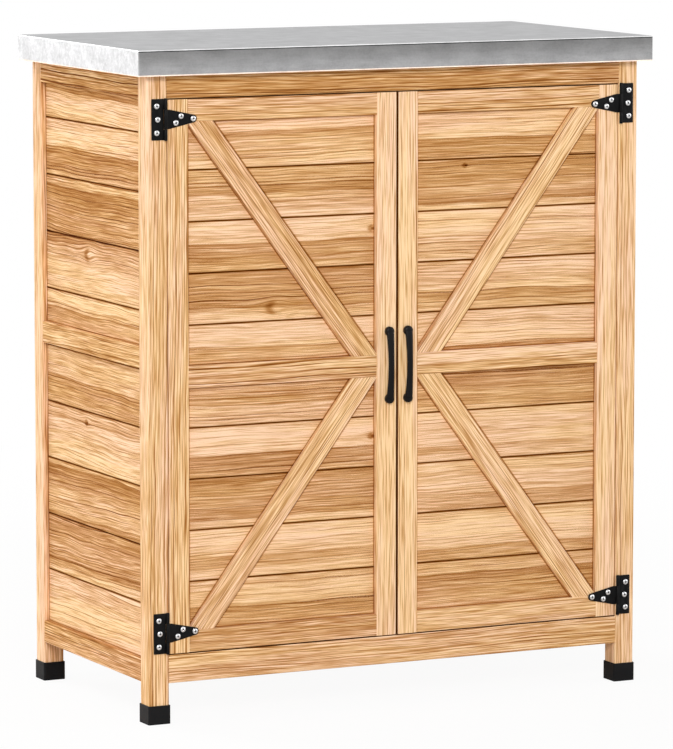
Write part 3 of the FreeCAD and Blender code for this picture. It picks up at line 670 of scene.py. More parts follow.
@dataclass(frozen=True)
class TimberFinish:
    """Clear-oiled fir. Its grain lies along the piece that it is made for."""

    groups: Groups
    ring_width: float = 4.5 * MM
    waviness: float = 1.0
    banding: float = 1.0
    line_strength: float = 1.0
    grain_depth: float = 0.12 * MM
    specular: float = 0.02
    # Painted shade where boards run under the frame: how far it reaches, how dark it is, and the depths that
    # keep it to the boards' face.
    corner_reach: float = 2.5 * MM
    corner_painted_shade: float = 0.55
    face_depth: Pair = (-3 * MM, -1 * MM)

    def dress(self, graph: Graph, shader: bpy.types.Node, places: dict[str, Value]) -> None:
        """Feeds the grain to a material's shader.

        Args:
            graph: The material's graph.
            shader: Its Principled BSDF.
            places: The timber group's inputs that say where each point of the piece is in the log.
        """
        fir = graph.group(self.groups.timber, {
            **places, "Ring width": self.ring_width, "Waviness": self.waviness, "Banding": self.banding,
            "Line strength": self.line_strength})
        graph.feed(shader.inputs["Base Color"], fir["Color"])
        graph.feed(shader.inputs["Roughness"], fir["Roughness"])
        graph.relief(shader, fir["Height"], self.grain_depth)
        shader.inputs["Specular IOR Level"].default_value = self.specular

    def for_member(self, node: str, along: Vector, outward: Vector, cut: Cut,
                   closing: Optional[Closing] = None) -> bpy.types.Material:
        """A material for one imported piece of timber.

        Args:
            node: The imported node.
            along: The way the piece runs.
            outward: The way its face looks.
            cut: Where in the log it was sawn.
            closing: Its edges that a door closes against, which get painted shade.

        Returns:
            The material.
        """
        low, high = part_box(node)
        turn = Matrix((along, outward.cross(along), outward))
        width = abs((high - low).dot(outward.cross(along)))
        material, graph, shader = new_material("fir_" + node)
        place = graph.place()
        turned = graph.term("ShaderNodeMapping", {
            "Vector": place, "Rotation": tuple(turn.to_euler()),
            "Location": tuple(-(turn @ ((low + high) / 2)))})
        places = {"Place": turned, **cut.places(width)}
        # Painted shade on the edges that a door closes against.
        if closing:
            places["Painted shade"] = graph.group(self.groups.closing, {
                "Place": place, "Side": closing.side, "Edge": closing.edge, "Top": closing.top,
                "Face": closing.face})["Shade"]
        self.dress(graph, shader, places)
        return material

    def for_boards(self, name: str, seen: Optional[Field] = None) -> bpy.types.Material:
        """A material for boards that carry their grain, cut and painted seam shade as attributes.

        Args:
            name: The material's name.
            seen: The part of the panel that shows, which gets painted shade at its edges, or none for loose
                slats.

        Returns:
            The material.
        """
        material, graph, shader = new_material(name)
        places = {label: graph.term("ShaderNodeAttribute", output="Vector", attribute_name=label.lower())
                  for label in ("Place", *Cut(0).places(1))}
        # Painted shade in and beside the seams, kept on the boards.
        places["Painted shade"] = graph.term("ShaderNodeAttribute", output="Fac", attribute_name="groove")
        # Painted shade where the boards run under the frame, with a painted shadow to the right of each
        # upright and brace, kept to the boards' face.
        if seen:
            height = graph.split(graph.place())[2]
            run, _, out = graph.split(places["Place"])
            corners = graph.group(self.groups.corners, {
                "Place": graph.combine(run, height - seen.middle, 0.0),
                "Half width": seen.half_width, "Half height": seen.half_height, "Rail": seen.rail,
                "Rail half": seen.rail_half, "Slope": seen.slope, "Brace height": seen.brace_height,
                "Brace half": seen.brace_half, "Reach": self.corner_reach, "Painted shadow width": seen.painted_shadow_width})
            shade = corners["Shade"] * graph.smooth(out, *self.face_depth) * self.corner_painted_shade
            places["Painted shade"] = graph.math("MAXIMUM", places["Painted shade"], shade)
        self.dress(graph, shader, places)
        return material


@dataclass(frozen=True)
class DappledFinish:
    """Metal, lacquer or plastic with soft blotches and a fine grain."""

    groups: Groups
    name: str
    light: Triple
    dark: Triple
    metallic: float = 0.0
    smooth: float = 0.35
    rough: float = 0.5
    blotch: float = 30 * MM
    grain: float = 1.2 * MM
    grain_depth: float = 0.03 * MM
    speckle: float = 0.3
    specular: float = 0.5

    def material(self) -> bpy.types.Material:
        """Builds the material."""
        material, graph, shader = new_material(self.name)
        dapple = graph.group(self.groups.dapple, {
            "Place": graph.place(), "Blotch": self.blotch, "Grain": self.grain})
        share = graph.blend(self.speckle, dapple["Blotches"], dapple["Grains"])
        graph.feed(shader.inputs["Base Color"], graph.blend(share, self.dark, self.light))
        graph.feed(shader.inputs["Roughness"], graph.spread(share, self.smooth, self.rough))
        graph.relief(shader, dapple["Grains"], self.grain_depth)
        shader.inputs["Metallic"].default_value = self.metallic
        shader.inputs["Specular IOR Level"].default_value = self.specular
        return material


@dataclass(frozen=True)
class GalvanisedFinish:
    """Zinc-coated sheet, mottled, with its light and shade painted on.

    Each face has a tone painted for how light falls on it: the top dull, the ends brighter, the
    front and back darker towards the top. A painted highlight runs along the top bend with a
    painted dark line below it, and a painted bright line runs along the lower edge.

    Args:
        groups: The shared shader groups.
        bottom: The height of the sheet's lower edge.
        top: The height of its top.
    """

    groups: Groups
    bottom: float
    top: float
    # Painted light and shade: a tone for each face as light falls on it, a highlight along the top bend, a
    # dark line below it and a bright line along the lower edge.
    flat: Triple = srgb(155, 155, 156)
    painted_face_top: Triple = srgb(126, 126, 126)
    painted_face_foot: Triple = srgb(158, 158, 159)
    end: Triple = srgb(211, 211, 212)
    painted_fold_highlight: Triple = srgb(212, 212, 212)
    painted_crease_shade: Triple = srgb(34, 34, 36)
    painted_lip_highlight: Triple = srgb(246, 226, 212)
    fold_height: float = 1.3 * MM
    fold_blur: float = 0.3 * MM
    crease_height: float = 1.6 * MM
    crease_blur: float = 0.4 * MM
    lip_height: float = 1.8 * MM
    lip_blur: float = 0.5 * MM
    end_step: Pair = (0.84, 0.98)
    flat_step: Pair = (0.9, 0.995)
    spangle: Pair = (26 * MM, 2.6 * MM)
    streak: Pair = (7 * MM, 1.3 * MM)
    blotch_share: float = 0.5
    spangle_grain: float = 0.35
    streak_grain: float = 0.25
    rolling: float = 0.12
    mottle: float = 0.16
    roughness: Pair = (0.52, 0.62)
    relief_depth: float = 0.05 * MM

    def material(self) -> bpy.types.Material:
        """Builds the material."""
        material, g, shader = new_material("galvanised_sheet")
        place = g.place()
        height = g.split(place)[2]
        sideways, _, upwards = g.split(g.term("ShaderNodeTexCoord", output="Normal"))
        rolled = g.term("ShaderNodeVectorMath", {0: place, 1: (self.rolling, 1.0, 1.0)}, operation="MULTIPLY")
        coarse, streaked = (
            g.group(self.groups.dapple, {"Place": where, "Blotch": blotch, "Grain": grain})
            for where, (blotch, grain) in ((place, self.spangle), (rolled, self.streak)))

        # Painted light: the front and back darker towards the top, the ends brighter, a dark line below the
        # top bend, a highlight on it, a bright line along the lower edge, and a tone for the top.
        colour = g.blend(g.smooth(height, self.bottom, self.top), self.painted_face_foot, self.painted_face_top)
        fold_foot = self.top - self.fold_height
        crease_foot = fold_foot - self.crease_height
        lip_top = self.bottom + self.lip_height
        for share, layer in (
                (g.smooth(height, crease_foot, crease_foot + self.crease_blur), self.painted_crease_shade),
                (g.smooth(abs(sideways), *self.end_step), self.end),
                (g.smooth(height, lip_top, lip_top - self.lip_blur), self.painted_lip_highlight),
                (g.smooth(height, fold_foot - self.fold_blur, fold_foot), self.painted_fold_highlight),
                (g.smooth(abs(upwards), *self.flat_step), self.flat)):
            colour = g.blend(share, colour, layer)
        patches = coarse["Blotches"] * self.blotch_share + streaked["Blotches"] * self.blotch_share
        patches = streaked["Grains"] * self.streak_grain + patches
        patches = coarse["Grains"] * self.spangle_grain + patches
        shade = g.spread(patches, 1 - self.mottle, 1 + self.mottle)
        g.feed(shader.inputs["Base Color"], g.blend(1.0, colour, g.combine(shade, shade, shade), "MULTIPLY"))
        g.feed(shader.inputs["Roughness"], g.spread(patches, *self.roughness))
        g.relief(shader, coarse["Grains"], self.relief_depth)
        shader.inputs["Metallic"].default_value = 1.0
        return material


@dataclass(frozen=True)
class ScrewFinish:
    """Bright plated steel, with painted shade in the cross recess and round the head's rim."""

    groups: Groups
    bright: Triple = srgb(238, 238, 239)
    worn: Triple = srgb(208, 208, 210)
    # The colour of the painted shade in the recess and round the rim.
    painted_screw_shade: Triple = srgb(40, 38, 36)
    blotch: float = 3 * MM
    grain: float = 0.5 * MM
    roughness: Pair = (0.18, 0.32)

    def material(self) -> bpy.types.Material:
        """Builds the material."""
        material, graph, shader = new_material("bright_screw_steel")
        dapple = graph.group(self.groups.dapple, {
            "Place": graph.place(), "Blotch": self.blotch, "Grain": self.grain})
        # Painted shade in the recess and round the head's rim, kept on the screw.
        recess = graph.term("ShaderNodeAttribute", output="Fac", attribute_name="recess")
        colour = graph.blend(dapple["Blotches"], self.worn, self.bright)
        rough = graph.math("MAXIMUM", graph.spread(dapple["Grains"], *self.roughness), recess)
        graph.feed(shader.inputs["Base Color"], graph.blend(recess, colour, self.painted_screw_shade))
        graph.feed(shader.inputs["Roughness"], rough)
        shader.inputs["Metallic"].default_value = 1.0
        return material


# Meshes

JOINED = 0.001 * MM
FLAT_ANGLE = math.radians(0.5)
SHARP_ANGLE = math.radians(50)
DOME_STEP = 15  # Degrees between two rings of a dome


def add_object(name: str, data: bpy.types.ID) -> bpy.types.Object:
    """A new object of some mesh, lamp or camera, linked to the scene.

    Args:
        name: Its name.
        data: The mesh, lamp or camera.

    Returns:
        The object.
    """
    made = bpy.data.objects.new(name, data)
    bpy.context.scene.collection.objects.link(made)
    return made


def mesh_object(name: str, vertices: Iterable[Vector], faces: Iterable[Sequence[int]]) -> bpy.types.Object:
    """A new object from vertices and faces.

    Args:
        name: Its name.
        vertices: Its corners.
        faces: Which corners each face has.

    Returns:
        The object.
    """
    mesh = bpy.data.meshes.new(name)
    mesh.from_pydata([tuple(v) for v in vertices], [], [tuple(f) for f in faces])
    mesh.update()
    return add_object(name, mesh)


def from_bmesh(name: str, shape: bmesh.types.BMesh) -> bpy.types.Object:
    """A new object from a bmesh, which is used up, with its normals pointing outwards.

    Args:
        name: Its name.
        shape: The bmesh.

    Returns:
        The object.
    """
    bmesh.ops.remove_doubles(shape, verts=shape.verts, dist=JOINED)
    bmesh.ops.recalc_face_normals(shape, faces=shape.faces)
    mesh = bpy.data.meshes.new(name)
    shape.to_mesh(mesh)
    shape.free()
    return add_object(name, mesh)


def discard(made: bpy.types.Object) -> None:
    """Removes a helper object and its mesh.

    Args:
        made: The object.
    """
    mesh = made.data
    bpy.data.objects.remove(made)
    bpy.data.meshes.remove(mesh)


def settled(made: bpy.types.Object) -> bpy.types.Mesh:
    """The plain mesh that an object's modifiers make.

    Args:
        made: The object.

    Returns:
        A new mesh.
    """
    view = bpy.context.evaluated_depsgraph_get()
    return bpy.data.meshes.new_from_object(
        made.evaluated_get(view), preserve_all_data_layers=True, depsgraph=view)


def packed_shape(node: str, flat: bool = False) -> bmesh.types.BMesh:
    """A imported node's mesh with its corners joined, and its flat faces too if asked.

    Args:
        node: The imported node.
        flat: Whether triangles that lie in one plane are joined.

    Returns:
        A bmesh.
    """
    shape = bmesh.new()
    shape.from_mesh(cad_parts[node].data)
    bmesh.ops.remove_doubles(shape, verts=shape.verts, dist=JOINED)
    if flat:
        bmesh.ops.dissolve_limit(shape, angle_limit=FLAT_ANGLE, verts=shape.verts, edges=shape.edges)
    return shape


def islands(node: str) -> list[list[Vector]]:
    """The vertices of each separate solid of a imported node, in the node's own order.

    Args:
        node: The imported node.

    Returns:
        A list of places for each solid.
    """
    shape = packed_shape(node)
    left = set(shape.verts)
    found = []
    for start in shape.verts:
        if start not in left:
            continue
        left.remove(start)
        todo, group = [start], [start.co.copy()]
        while todo:
            for edge in todo.pop().link_edges:
                for vertex in edge.verts:
                    if vertex in left:
                        left.remove(vertex)
                        todo.append(vertex)
                        group.append(vertex.co.copy())
        found.append(group)
    shape.free()
    return found


def corners_of(solid: list[Vector]) -> tuple[Vector, Vector]:
    """The lowest and highest corners of the box around some points."""
    return (Vector([min(v[i] for v in solid) for i in range(3)]),
            Vector([max(v[i] for v in solid) for i in range(3)]))


def turn_round(shape: bmesh.types.BMesh, outline: Iterable[Vector], centre: Vector, around: Along,
               sides: int) -> None:
    """Adds a surface turned from an outline.

    Args:
        shape: What it is added to.
        outline: Points from one end to the other, on one side of the axis.
        centre: A point on the axis.
        around: The way of the axis.
        sides: How many sides the surface has.
    """
    ring = [shape.verts.new(point) for point in outline]
    edges = [shape.edges.new(pair) for pair in zip(ring, ring[1:])]
    bmesh.ops.spin(shape, geom=ring + edges, axis=around.value, cent=centre, angle=math.tau,
                   steps=sides, use_merge=True)


def run_of(node: str) -> Vector:
    """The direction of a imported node's longest edge, with X positive.

    Args:
        node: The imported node.

    Returns:
        A vector of length 1.
    """
    shape = packed_shape(node, flat=True)
    longest = max(shape.edges, key=lambda edge: edge.calc_length())
    run = (longest.verts[1].co - longest.verts[0].co).normalized()
    shape.free()
    return run if run.x > 0 else -run


def half_across(node: str, run: Vector) -> float:
    """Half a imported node's width across a direction in its face, which looks forwards.

    Args:
        node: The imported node.
        run: The direction.

    Returns:
        The half width, in metres.
    """
    low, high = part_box(node)
    across = run.cross(Facing.FRONT.value)
    return max(abs((vertex.co - (low + high) / 2).dot(across))
               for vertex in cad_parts[node].data.vertices)


def finish_piece(made: bpy.types.Object, material: bpy.types.Material, body: str,
                 node: str) -> None:
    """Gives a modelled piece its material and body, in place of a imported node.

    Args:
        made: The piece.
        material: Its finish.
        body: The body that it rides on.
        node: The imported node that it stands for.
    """
    if not made.data.materials:
        made.data.materials.append(material)
    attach(made, body)
    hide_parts(node)
    log.info("modelled %s: %d faces", made.name, len(made.data.polygons))


def dress_node(node: str, material: bpy.types.Material) -> None:
    """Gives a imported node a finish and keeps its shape.

    Args:
        node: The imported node.
        material: Its finish.
    """
    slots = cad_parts[node].data.materials
    slots.clear()
    slots.append(material)
    log.info("dressed %s", node)


def softened(node: str, radius: float, body: str, material: bpy.types.Material) -> None:
    """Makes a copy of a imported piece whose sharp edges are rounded.

    Args:
        node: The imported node.
        radius: The rounding, in metres.
        body: The body that it rides on.
        material: Its finish.
    """
    made = from_bmesh(node + "_rounded", packed_shape(node, flat=True))
    made.data.shade_smooth()
    bevel = made.modifiers.new("rounding", "BEVEL")
    bevel.width = radius
    bevel.segments = 2
    bevel.limit_method = "ANGLE"
    bevel.angle_limit = SHARP_ANGLE
    bevel.harden_normals = True
    finish_piece(made, material, body, node)


# Trees that repeat a piece

RANDOM_FLOAT = 1      # The random node's output of one number
RANDOM_FLOAT_MAX = 3  # Its input for the most that number can be
SAME_INDEX = 0.1


class RepeatTree:
    """A Geometry Nodes tree that sets pieces on points."""

    def __init__(self, name: str, inputs: dict[str, str]) -> None:
        """Starts the tree with its named inputs.

        Args:
            name: The tree's name.
            inputs: Socket kind by input name, besides the points.
        """
        self.tree = bpy.data.node_groups.new(name, "GeometryNodeTree")
        self.names: dict[str, str] = {}
        self.tree.interface.new_socket("Points", in_out="INPUT", socket_type="NodeSocketGeometry")
        for label, kind in inputs.items():
            socket = self.tree.interface.new_socket(label, in_out="INPUT", socket_type="NodeSocket" + kind)
            self.names[label] = socket.identifier
        self.tree.interface.new_socket("Pieces", in_out="OUTPUT", socket_type="NodeSocketGeometry")
        self.graph = Graph(self.tree)
        self.given = self.graph.add("NodeGroupInput").outputs

    def object_shape(self, label: str) -> Term:
        """The mesh of the object that an input names."""
        inputs = {"Object": self.given[label]}
        return self.graph.term("GeometryNodeObjectInfo", inputs, "Geometry", transform_space="ORIGINAL")

    def close(self, pieces: Term) -> None:
        """Ends the tree with real meshes that have the Material input's finish.

        Args:
            pieces: The instances.
        """
        real = self.graph.term("GeometryNodeRealizeInstances", {0: pieces})
        inputs = {"Geometry": real, "Material": self.given["Material"]}
        self.graph.add("NodeGroupOutput", {0: self.graph.term("GeometryNodeSetMaterial", inputs)})

    def lay(self, points: bpy.types.Object, name: str, values: dict[str, object]) -> bpy.types.Object:
        """Runs the tree on some points.

        Args:
            points: An object whose vertices are the points. It is used up.
            name: The name of the result.
            values: The tree's inputs by name.

        Returns:
            A plain mesh object with the pieces.
        """
        modifier = points.modifiers.new("repeat", "NODES")
        modifier.node_group = self.tree
        for label, value in values.items():
            modifier[self.names[label]] = value
        mesh = settled(points)
        points.modifiers.remove(modifier)
        discard(points)
        mesh.name = name
        return add_object(name, mesh)


class BoardTree(RepeatTree):
    """Sets one board on each point: a first one, middle ones and a last one."""

    def __init__(self) -> None:
        """Builds the tree."""
        super().__init__("boards_on_points", {
            "First board": "Object", "Middle board": "Object", "Last board": "Object",
            "Board count": "Int", "Unevenness": "Float", "Seed": "Int", "Material": "Material"})
        g = self.graph
        play = g.term("FunctionNodeRandomValue", {"Seed": self.given["Seed"]}, RANDOM_FLOAT,
                      data_type="FLOAT")
        shift = g.combine(0.0, play * self.given["Unevenness"], 0.0)
        moved = g.term("GeometryNodeSetPosition", {"Geometry": self.given["Points"], "Offset": shift})
        index = g.term("GeometryNodeInputIndex")
        last = g.math("SUBTRACT", self.given["Board count"], 1.0)
        is_first, is_last = (g.math("COMPARE", index, number, SAME_INDEX) for number in (0.0, last))
        is_middle = g.math("SUBTRACT", 1.0, is_first + is_last)
        joined = g.add("GeometryNodeJoinGeometry")
        parts = {"First board": is_first, "Middle board": is_middle, "Last board": is_last}
        for label, chosen in parts.items():
            g.feed(joined.inputs[0], g.term("GeometryNodeInstanceOnPoints", {
                "Points": moved, "Selection": chosen, "Instance": self.object_shape(label)}))
        self.close(Term(g, joined.outputs[0]))


class ScrewTree(RepeatTree):
    """Sets one screw on each point, pointing the way the point says and turned at random."""

    def __init__(self) -> None:
        """Builds the tree."""
        super().__init__("screws_on_points", {"Screw": "Object", "Seed": "Int", "Material": "Material"})
        g = self.graph
        facing = g.term("GeometryNodeInputNamedAttribute", {"Name": "facing"}, data_type="FLOAT_VECTOR")
        aimed = g.term("FunctionNodeAlignRotationToVector", {"Vector": facing}, axis="Z")
        turn = g.term("FunctionNodeRandomValue", {RANDOM_FLOAT_MAX: math.tau, "Seed": self.given["Seed"]},
                      RANDOM_FLOAT, data_type="FLOAT")
        spin = g.term("FunctionNodeAxisAngleToRotation", {"Axis": (0.0, 0.0, 1.0), "Angle": turn})
        turned = g.term("FunctionNodeRotateRotation", {0: aimed, 1: spin}, rotation_space="LOCAL")
        self.close(g.term("GeometryNodeInstanceOnPoints", {
            "Points": self.given["Points"], "Instance": self.object_shape("Screw"), "Rotation": turned}))


# Boarded panels

@dataclass(frozen=True)
class BoardProfile:
    """The section of a tongue-and-groove board, in metres.

    Args:
        thickness: From face to back.
        length: From end to end.
        slot: How wide the seam between two boards is in front.
        chamfer: How much is taken off each corner.
        tongue: How thick the tongue is.
        reach: How far the tongue stands out.
        play: How much wider the groove is, on each side of the tongue.
        spare: How much deeper the groove is.
        margin: How wide the painted shade is on the face beside a seam.
        lower_shade: How much painted shade the face has at its lower edge.
        lower_corner: How much painted shade the corner below that edge has.
        upper_shade: How much painted shade the face has at its upper edge.
        back_corner: How much painted shade the corners of a seam have at the back.
    """

    thickness: float
    length: float
    slot: float = 0.8 * MM
    chamfer: float = 0.6 * MM
    tongue: float = 3.0 * MM
    reach: float = 3.5 * MM
    play: float = 0.1 * MM
    spare: float = 0.5 * MM
    margin: float = 1.2 * MM
    lower_shade: float = 0.25
    lower_corner: float = 0.9
    upper_shade: float = 0.55
    back_corner: float = 0.5

    def section(self, low: float, high: float, grooved: bool, tongued: bool) -> list[Triple]:
        """The outline in depth and height, counted from the face, and how much painted shade it has.

        Args:
            low: The lower edge's height.
            high: The upper edge's height.
            grooved: Whether the lower edge has a groove.
            tongued: Whether the upper edge has a tongue.

        Returns:
            Depth, height and painted shade of the outline's corners.
        """
        middle, gap = self.thickness / 2, self.slot / 2
        wide, thin = self.tongue / 2 + self.play, self.tongue / 2
        soft, margin = self.chamfer, self.margin
        points = [(0.0, low + soft, 0.0), (soft, low, 0.0)]
        if grooved:
            deep = low + self.reach + self.spare
            points = [(0.0, low + gap + soft + margin, 0.0), (0.0, low + gap + soft, self.lower_shade),
                      (soft, low + gap, self.lower_corner), (middle - wide, low + gap, 1.0),
                      (middle - wide, deep, 1.0), (middle + wide, deep, 1.0), (middle + wide, low, 1.0)]
        points += [(self.thickness - soft, low, self.back_corner), (self.thickness, low + soft, 0.0),
                   (self.thickness, high - soft, 0.0), (self.thickness - soft, high, self.back_corner)]
        if tongued:
            points += [(middle + thin, high, 1.0), (middle + thin, high + self.reach, 1.0),
                       (middle - thin, high + self.reach, 1.0), (middle - thin, high - gap, 1.0),
                       (soft, high - gap, 1.0), (0.0, high - gap - soft, self.upper_shade),
                       (0.0, high - gap - soft - margin, 0.0)]
        else:
            points += [(soft, high, 0.0), (0.0, high - soft, 0.0)]
        return points

    def board(self, width: float, grooved: bool, tongued: bool) -> bpy.types.Object:
        """One board along X that faces -Y, with its grain and its painted seam shade kept as attributes.

        Args:
            width: The board's width.
            grooved: Whether its lower edge has a groove.
            tongued: Whether its upper edge has a tongue.

        Returns:
            A helper object.
        """
        outline = self.section(-width / 2, width / 2, grooved, tongued)
        size = len(outline)
        ends = (-self.length / 2, self.length / 2)
        vertices = [Vector((x, depth, height)) for x in ends for depth, height, _ in outline]
        faces = [tuple(range(size)), tuple(range(2 * size - 1, size - 1, -1))]
        faces += [(i, size + i, size + (i + 1) % size, (i + 1) % size) for i in range(size)]
        made = mesh_object("board", vertices, faces)
        places = made.data.attributes.new("place", "FLOAT_VECTOR", "POINT")
        for place, vertex in zip(places.data, made.data.vertices):
            place.vector = (vertex.co.x, vertex.co.z, -vertex.co.y)
        # Painted shade in and beside the seams.
        groove = made.data.attributes.new("groove", "FLOAT", "POINT")
        groove.data.foreach_set("value", [dark for _, _, dark in outline] * 2)
        return made


def mark_cuts(mesh: bpy.types.Mesh, cuts: list[tuple[Cut, float]]) -> None:
    """Keeps each vertex's place in the log as attributes.

    Args:
        mesh: The mesh.
        cuts: The cut and the width of the piece that each vertex belongs to.
    """
    for label in Cut(0).places(1):
        mesh.attributes.new(label.lower(), "FLOAT_VECTOR", "POINT")
    for index, (cut, width) in enumerate(cuts):
        for label, value in cut.places(width).items():
            mesh.attributes[label.lower()].data[index].vector = value


@dataclass
class Panel:
    """Boards laid one above another, from the lowest to the highest.

    Args:
        node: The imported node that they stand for.
        body: The body that they ride on.
        facing: The way their face looks.
        seams: The heights between the boards, with both ends.
        cuts: Where in the log each board was sawn, from the top down.
        unevenness: How far a board may lie behind its neighbours.
    """

    node: str
    body: str
    facing: Facing
    seams: list[float]
    cuts: list[Cut]
    unevenness: float = 0.15 * MM

    def build(self, tree: BoardTree, material: bpy.types.Material) -> None:
        """Builds the boards and puts them in place.

        Args:
            tree: The tree that lays them.
            material: Their finish.
        """
        low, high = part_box(self.node)
        outward = self.facing.value
        turn = Matrix.Rotation(math.atan2(outward.x, -outward.y), 4, "Z")
        size = turn.inverted() @ (high - low)
        profile = BoardProfile(thickness=abs(size.y), length=abs(size.x))
        widths = [b - a for a, b in zip(self.seams, self.seams[1:])]
        boards = {"First board": profile.board(widths[0], False, True),
                  "Middle board": profile.board(widths[1], True, True),
                  "Last board": profile.board(widths[-1], True, False)}
        middles = [Vector((0, 0, (a + b) / 2)) for a, b in zip(self.seams, self.seams[1:])]
        points = mesh_object(self.node + "_points", middles, [])
        mark_cuts(points.data, list(zip(reversed(self.cuts), widths)))
        made = tree.lay(points, self.node + "_planed", {
            **boards, "Board count": len(widths), "Unevenness": self.unevenness, "Seed": len(self.node),
            "Material": material})
        for helper in boards.values():
            discard(helper)
        face = (low + high) / 2 + outward * (profile.thickness / 2)
        made.data.transform(Matrix.Translation((face.x, face.y, 0)) @ turn)
        finish_piece(made, material, self.body, self.node)


# Screws

@dataclass(frozen=True)
class PanScrew:
    """A screw with a domed head and a cross recess, in metres. Its point looks along +Z.

    Args:
        head_radius: The head's radius.
        head_height: How high the head is.
        dome_share: The share of that height that is domed.
        rim_round: How much is taken off the head's lower corner.
        shank_radius: The shank's radius.
        point_share: The point's length, in radii of the shank.
        recess_width: How wide each arm of the recess is.
        recess_length: From end to end of two arms.
        recess_root: Where two arms meet, from the middle both ways.
        recess_depth: How deep the recess is below the top of the head.
        recess_taper: The bottom of the recess as a share of its top.
        recess_clear: How far its cutter stands above the head.
        painted_shade_reach: How far out the recess's painted shade reaches, in lengths of the recess.
        painted_shade_depth: How deep below the head's top the painted shade starts.
        rim_start: Where the painted shade round the rim starts, in radii of the head.
        rim_painted_shade: How fast it grows from there.
        sides: How many sides a turned surface has.
    """

    head_radius: float = 4.0 * MM
    head_height: float = 2.4 * MM
    dome_share: float = 0.55
    rim_round: float = 0.12 * MM
    shank_radius: float = 1.75 * MM
    point_share: float = 1.6
    recess_width: float = 0.95 * MM
    recess_length: float = 4.0 * MM
    recess_root: float = 0.72 * MM
    recess_depth: float = 1.5 * MM
    recess_taper: float = 0.55
    recess_clear: float = 0.4 * MM
    painted_shade_reach: float = 0.45
    painted_shade_depth: float = 0.5 * MM
    rim_start: float = 0.8
    rim_painted_shade: float = 3.5
    sides: int = 28

    def profile(self, length: float) -> list[tuple[float, float]]:
        """Radius and height of the outline, from the top of the head to the point.

        Args:
            length: From under the head to the point.

        Returns:
            The outline's corners.
        """
        r, h = self.head_radius, self.head_height
        angles = [math.radians(angle) for angle in range(0, 91, DOME_STEP)]
        dome = [(r * math.sin(a), -h + self.dome_share * h * (1 - math.cos(a))) for a in angles]
        rim = [(r, -self.rim_round), (r - self.rim_round, 0.0)]
        point = self.point_share * self.shank_radius
        return dome + rim + [(self.shank_radius, 0.0), (self.shank_radius, length - point), (0.0, length)]

    def template(self, length: float) -> bpy.types.Object:
        """One screw as a helper object.

        Args:
            length: From under the head to the point.

        Returns:
            The screw, with its recess cut.
        """
        shape = bmesh.new()
        outline = [Vector((radius, 0, height)) for radius, height in self.profile(length)]
        turn_round(shape, outline, Vector((0, 0, 0)), Along.Z, self.sides)
        screw = from_bmesh("screw", shape)
        screw.data.shade_smooth()
        cutter = self.recess()
        cut = screw.modifiers.new("recess", "BOOLEAN")
        cut.operation = "DIFFERENCE"
        cut.object = cutter
        mesh = settled(screw)
        screw.modifiers.clear()
        old = screw.data
        screw.data = mesh
        bpy.data.meshes.remove(old)
        discard(cutter)
        # Painted shade in the cross recess and round the head's rim.
        painted_screw_shade = mesh.attributes.new("recess", "FLOAT", "POINT")
        for mark, vertex in zip(painted_screw_shade.data, mesh.vertices):
            out = math.hypot(vertex.co.x, vertex.co.y)
            near = out < self.recess_length * self.painted_shade_reach
            deep = -self.head_height + self.painted_shade_depth < vertex.co.z < 0
            past_rim = max(0.0, out / self.head_radius - self.rim_start)
            mark.value = 1.0 if near and deep else past_rim * self.rim_painted_shade
        return screw

    def recess(self) -> bpy.types.Object:
        """The cross-shaped cutter, narrower at its bottom."""
        shape = bmesh.new()
        top, bottom = -self.head_height - self.recess_clear, -self.head_height + self.recess_depth
        long, thin, root = self.recess_length / 2, self.recess_width / 2, self.recess_root
        arm = [(long, -thin), (long, thin), (root, root)]
        cross = []
        for _ in range(4):
            cross += arm
            arm = [(-y, x) for x, y in arm]
        upper = [shape.verts.new((x, y, top)) for x, y in cross]
        lower = [shape.verts.new((x * self.recess_taper, y * self.recess_taper, bottom)) for x, y in cross]
        shape.faces.new(upper)
        shape.faces.new(lower)
        for i in range(len(cross)):
            j = (i + 1) % len(cross)
            shape.faces.new((upper[i], upper[j], lower[j], lower[i]))
        return from_bmesh("recess", shape)


@dataclass
class ScrewSet:
    """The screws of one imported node, each set where its solid is.

    Args:
        node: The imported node.
        body: The body that they ride on.
        seed: For the turn of each screw.
        screw: Their shape.
        end_share: The share of a screw's length that counts as its end.
        head_least: How wide an end with a head is at least, in radii of the head.
    """

    node: str
    body: str
    seed: int
    screw: PanScrew = PanScrew()
    end_share: float = 0.1
    head_least: float = 0.6

    def build(self, tree: ScrewTree, material: bpy.types.Material) -> None:
        """Builds the screws.

        Args:
            tree: The tree that sets them.
            material: Their finish.
        """
        seats, facings, length = [], [], 0.0
        for solid in islands(self.node):
            seat, facing, length = self.place(solid)
            seats.append(seat)
            facings.append(facing)
        points = mesh_object(self.node + "_points", seats, [])
        aims = points.data.attributes.new("facing", "FLOAT_VECTOR", "POINT")
        for aim, facing in zip(aims.data, facings):
            aim.vector = facing
        template = self.screw.template(length)
        made = tree.lay(points, self.node + "_driven", {
            "Screw": template, "Seed": self.seed, "Material": material})
        discard(template)
        finish_piece(made, material, self.body, self.node)

    def place(self, solid: list[Vector]) -> tuple[Vector, Vector, float]:
        """Where a packed screw sits, which way it points, and how long its shank is.

        Args:
            solid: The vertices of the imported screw.

        Returns:
            The place under its head, the way it points, and the length.
        """
        low, high = corners_of(solid)
        size = high - low
        axis = max(range(3), key=lambda i: size[i])
        way = list(Along)[axis].value
        middle = (low + high) / 2
        near_low = max((v - middle - (v - middle).project(way)).length
                       for v in solid if v[axis] < low[axis] + size[axis] * self.end_share)
        head_first = near_low > self.screw.head_radius * self.head_least
        facing = way * (1 if head_first else -1)
        length = size[axis] - self.screw.head_height
        end = low[axis] if head_first else high[axis]
        seat = middle.copy()
        seat[axis] = end + facing[axis] * self.screw.head_height
        return seat, facing, length


# Handles

